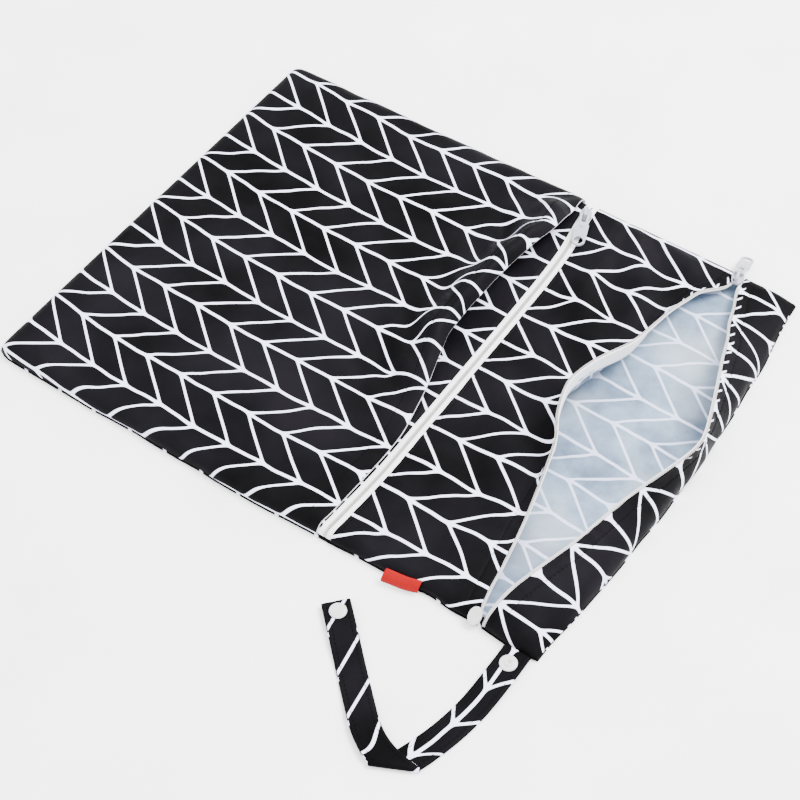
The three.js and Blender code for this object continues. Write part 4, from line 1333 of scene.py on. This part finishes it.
class WETBAG_OT_strap(bpy.types.Operator):
    """Build the folded strap with its two snaps"""

    bl_idname = "wetbag.strap"
    bl_label = "Strap and snaps"

    def execute(self, context):
        cloth = context.scene.wet_bag_cloth
        zipper = context.scene.wet_bag_zipper
        middle, uv = strap_middle()
        upper = printed_fabric("print_strap_front", cloth, (1 + cloth.stem_spacing, 2.3))
        lower = printed_fabric("print_strap_back", cloth, (cloth.stem_spacing / 2, 9))
        strap = shell("strap_loop", middle, STRAP_WALL, uv, [upper, lower])
        declare(strap, "strap", uv)

        resin = material("snap_resin", grained, "snap_resin", zipper.snap_color, 0.3, 700)
        line, _ = strap_route()
        root = point_along(line, ROOT_SNAP_FROM_SEAM)
        end = point_along(line, curve_lengths(line)[-1] - END_SNAP_FROM_END)
        reach = STRAP_SPACE / 2 + GAP
        for name, node, place, top, bottom in (("snap_ring", "snap_socket", root, SNAP_RING, SNAP_CAP),
                                               ("snap_cap", "snap_stud", end, SNAP_CAP, SNAP_RING)):
            corners = [
                *[(radius, reach + height) for radius, height in top],
                (SNAP_RADIUS, reach - SNAP_SUNK), (SNAP_POST, reach - SNAP_SUNK),
                (SNAP_POST, -reach), (SNAP_RADIUS, -reach),
                *[(radius, -reach - height) for radius, height in bottom[::-1]],
            ]
            piece = turned_piece(name, rounded_profile(corners[::-1], 0.25), place, resin)
            stand_for(piece, node)
        return {"FINISHED"}


class WETBAG_OT_side_tag(bpy.types.Operator):
    """Build the bare red tag bent over the near seam"""

    bl_idname = "wetbag.side_tag"
    bl_label = "Side tag"

    def execute(self, context):
        red = material("red_tag_satin", tag_satin, context.scene.wet_bag_cloth)
        middle = tag_middle()
        uv = np.stack([cumulative(middle, 1), cumulative(middle, 0)], -1)
        piece = shell("tag", middle, TAG_WALL, uv, [red, red])
        declare(piece, "side_tag", uv)
        return {"FINISHED"}


class WETBAG_OT_stitching(bpy.types.Operator):
    """Lay the rows of stitches on the hems, beside the zippers and along the strap"""

    bl_idname = "wetbag.stitching"
    bl_label = "Stitching"

    def execute(self, context):
        wall = context.scene.wet_bag_cloth.wall
        thread = grained("thread", (0.001, 0.001, 0.001), 0.7, 1500, Specular_IOR_Level=0.03)
        pocket, (strip, _), (band, _) = front_middle(), strip_middle(), band_middle()
        hem = 1 - (HEM_STITCH / (FOLD_SETBACK + FOLD_FOOT)) * (BULGE_ROWS - 1) / (pocket.shape[1] - 1)
        stations = across(HEM_STATIONS, OUTER_ROLL)
        width = strip_length(stations) - CLOTH_EDGE - HEM_EDGE
        depth = band_length(stations) - HEM_EDGE
        rows = [
            row_of(pocket, wall, hem),
            row_of(strip, wall, 1 - LIP_STITCH / width),
            row_of(strip, wall, ZIPPER_STITCH / width),
            row_of(band, wall, np.arcsin(LIP_STITCH / depth) / (np.pi / 2)),
        ]
        flat = slice(6, -6)             # without the rolled edges
        runs = [(curve[flat], normal[flat]) for curve, normal in rows]
        strap, _ = strap_middle()
        for share in (STRAP_STITCH / STRAP_WIDTH, 1 - STRAP_STITCH / STRAP_WIDTH):
            curve, normal = row_of(strap, STRAP_WALL, share)
            # the strap is turned over at its fold, so its other face is the upper one there
            turned = curve - normal * STRAP_WALL
            runs.append((curve[:STRAP_STEPS], normal[:STRAP_STEPS]))
            runs.append((turned[-STRAP_STEPS:], -normal[-STRAP_STEPS:]))
        stitches("stitching", runs, thread)
        return {"FINISHED"}


class WETBAG_OT_stage(bpy.types.Operator):
    """Set the pale floor, the soft studio light and the camera"""

    bl_idname = "wetbag.stage"
    bl_label = "Stage"

    def execute(self, context):
        stage = context.scene.wet_bag_stage
        link = context.scene.collection.objects.link
        link(self.make_floor(stage))
        for facts in LAMPS:
            link(self.make_lamp(*facts))
        context.scene.world = self.make_world()
        context.scene.camera = self.make_camera(stage)
        link(context.scene.camera)
        return {"FINISHED"}

    def make_floor(self, stage):
        mesh = bpy.data.meshes.new("floor")
        corners = [(x * FLOOR_REACH, y * FLOOR_REACH, 0) for x, y in ((-1, -1), (1, -1), (1, 1), (-1, 1))]
        mesh.from_pydata(corners, [], [(0, 1, 2, 3)])
        mesh.materials.append(grained("floor_paint", stage.floor_color, 0.75, 40, 0.00002))
        floor = bpy.data.objects.new("floor", mesh)
        floor.location.z = -FLOOR_DROP
        return floor

    def make_world(self):
        world = bpy.data.worlds.new("studio")
        world.use_nodes = True
        background = world.node_tree.nodes["Background"]
        background.inputs["Color"].default_value = (1, 1, 1, 1)
        background.inputs["Strength"].default_value = SKY_STRENGTH
        return world

    def make_lamp(self, name, place, size, power):
        lamp = bpy.data.lights.new(name, "AREA")
        lamp.size = size
        lamp.energy = power
        light = bpy.data.objects.new(name, lamp)
        light.location = place
        light.rotation_euler = (-Vector(place)).to_track_quat("-Z", "Y").to_euler()
        return light

    def make_camera(self, stage):
        azimuth, elevation, roll_angle = map(math.radians, (stage.azimuth, stage.elevation, stage.roll))
        level = Vector((math.sin(azimuth), -math.cos(azimuth), 0))
        backward = level * math.cos(elevation) + Vector((0, 0, math.sin(elevation)))
        right = Vector((0, 0, 1)).cross(backward).normalized()
        up = backward.cross(right)
        turned_right = math.cos(roll_angle) * right + math.sin(roll_angle) * up
        turned_up = math.cos(roll_angle) * up - math.sin(roll_angle) * right
        data = bpy.data.cameras.new("camera")
        data.lens = stage.lens
        data.sensor_width = 36
        camera = bpy.data.objects.new("camera", data)
        camera.matrix_world = Matrix((turned_right, turned_up, backward)).transposed().to_4x4()
        camera.location = Vector(stage.target) + backward * stage.distance
        return camera


OPERATORS = (
    WETBAG_OT_stage, WETBAG_OT_back_panel, WETBAG_OT_inner_panel, WETBAG_OT_slip_pocket,
    WETBAG_OT_middle_strip, WETBAG_OT_top_band, WETBAG_OT_closed_zipper, WETBAG_OT_open_zipper,
    WETBAG_OT_sliders, WETBAG_OT_strap, WETBAG_OT_side_tag, WETBAG_OT_stitching,
)
SETTINGS = (
    (ClothSettings, "wet_bag_cloth"), (ZipperSettings, "wet_bag_zipper"), (StageSettings, "wet_bag_stage"),
)


class WETBAG_PT_pieces(bpy.types.Panel):
    """Sidebar list of the settings and of the pieces"""

    bl_idname = "WETBAG_PT_pieces"
    bl_label = "Wet bag"
    bl_space_type = "VIEW_3D"
    bl_region_type = "UI"
    bl_category = "Wet bag"

    def draw(self, context):
        for group, place in SETTINGS:
            for name in group.__annotations__:
                self.layout.prop(getattr(context.scene, place), name)
        for operator in OPERATORS:
            self.layout.operator(operator.bl_idname)


def register():
    for group, name in SETTINGS:
        bpy.utils.register_class(group)
        setattr(bpy.types.Scene, name, bpy.props.PointerProperty(type=group))
    for operator in OPERATORS:
        bpy.utils.register_class(operator)
    bpy.utils.register_class(WETBAG_PT_pieces)


def unregister():
    bpy.utils.unregister_class(WETBAG_PT_pieces)
    for operator in reversed(OPERATORS):
        bpy.utils.unregister_class(operator)
    for group, name in reversed(SETTINGS):
        delattr(bpy.types.Scene, name)
        bpy.utils.unregister_class(group)


def main():
    """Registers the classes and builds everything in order."""
    register()
    for operator in OPERATORS:
        group, name = operator.bl_idname.split(".")
        getattr(getattr(bpy.ops, group), name)()


if __name__ == "__main__":
    main()
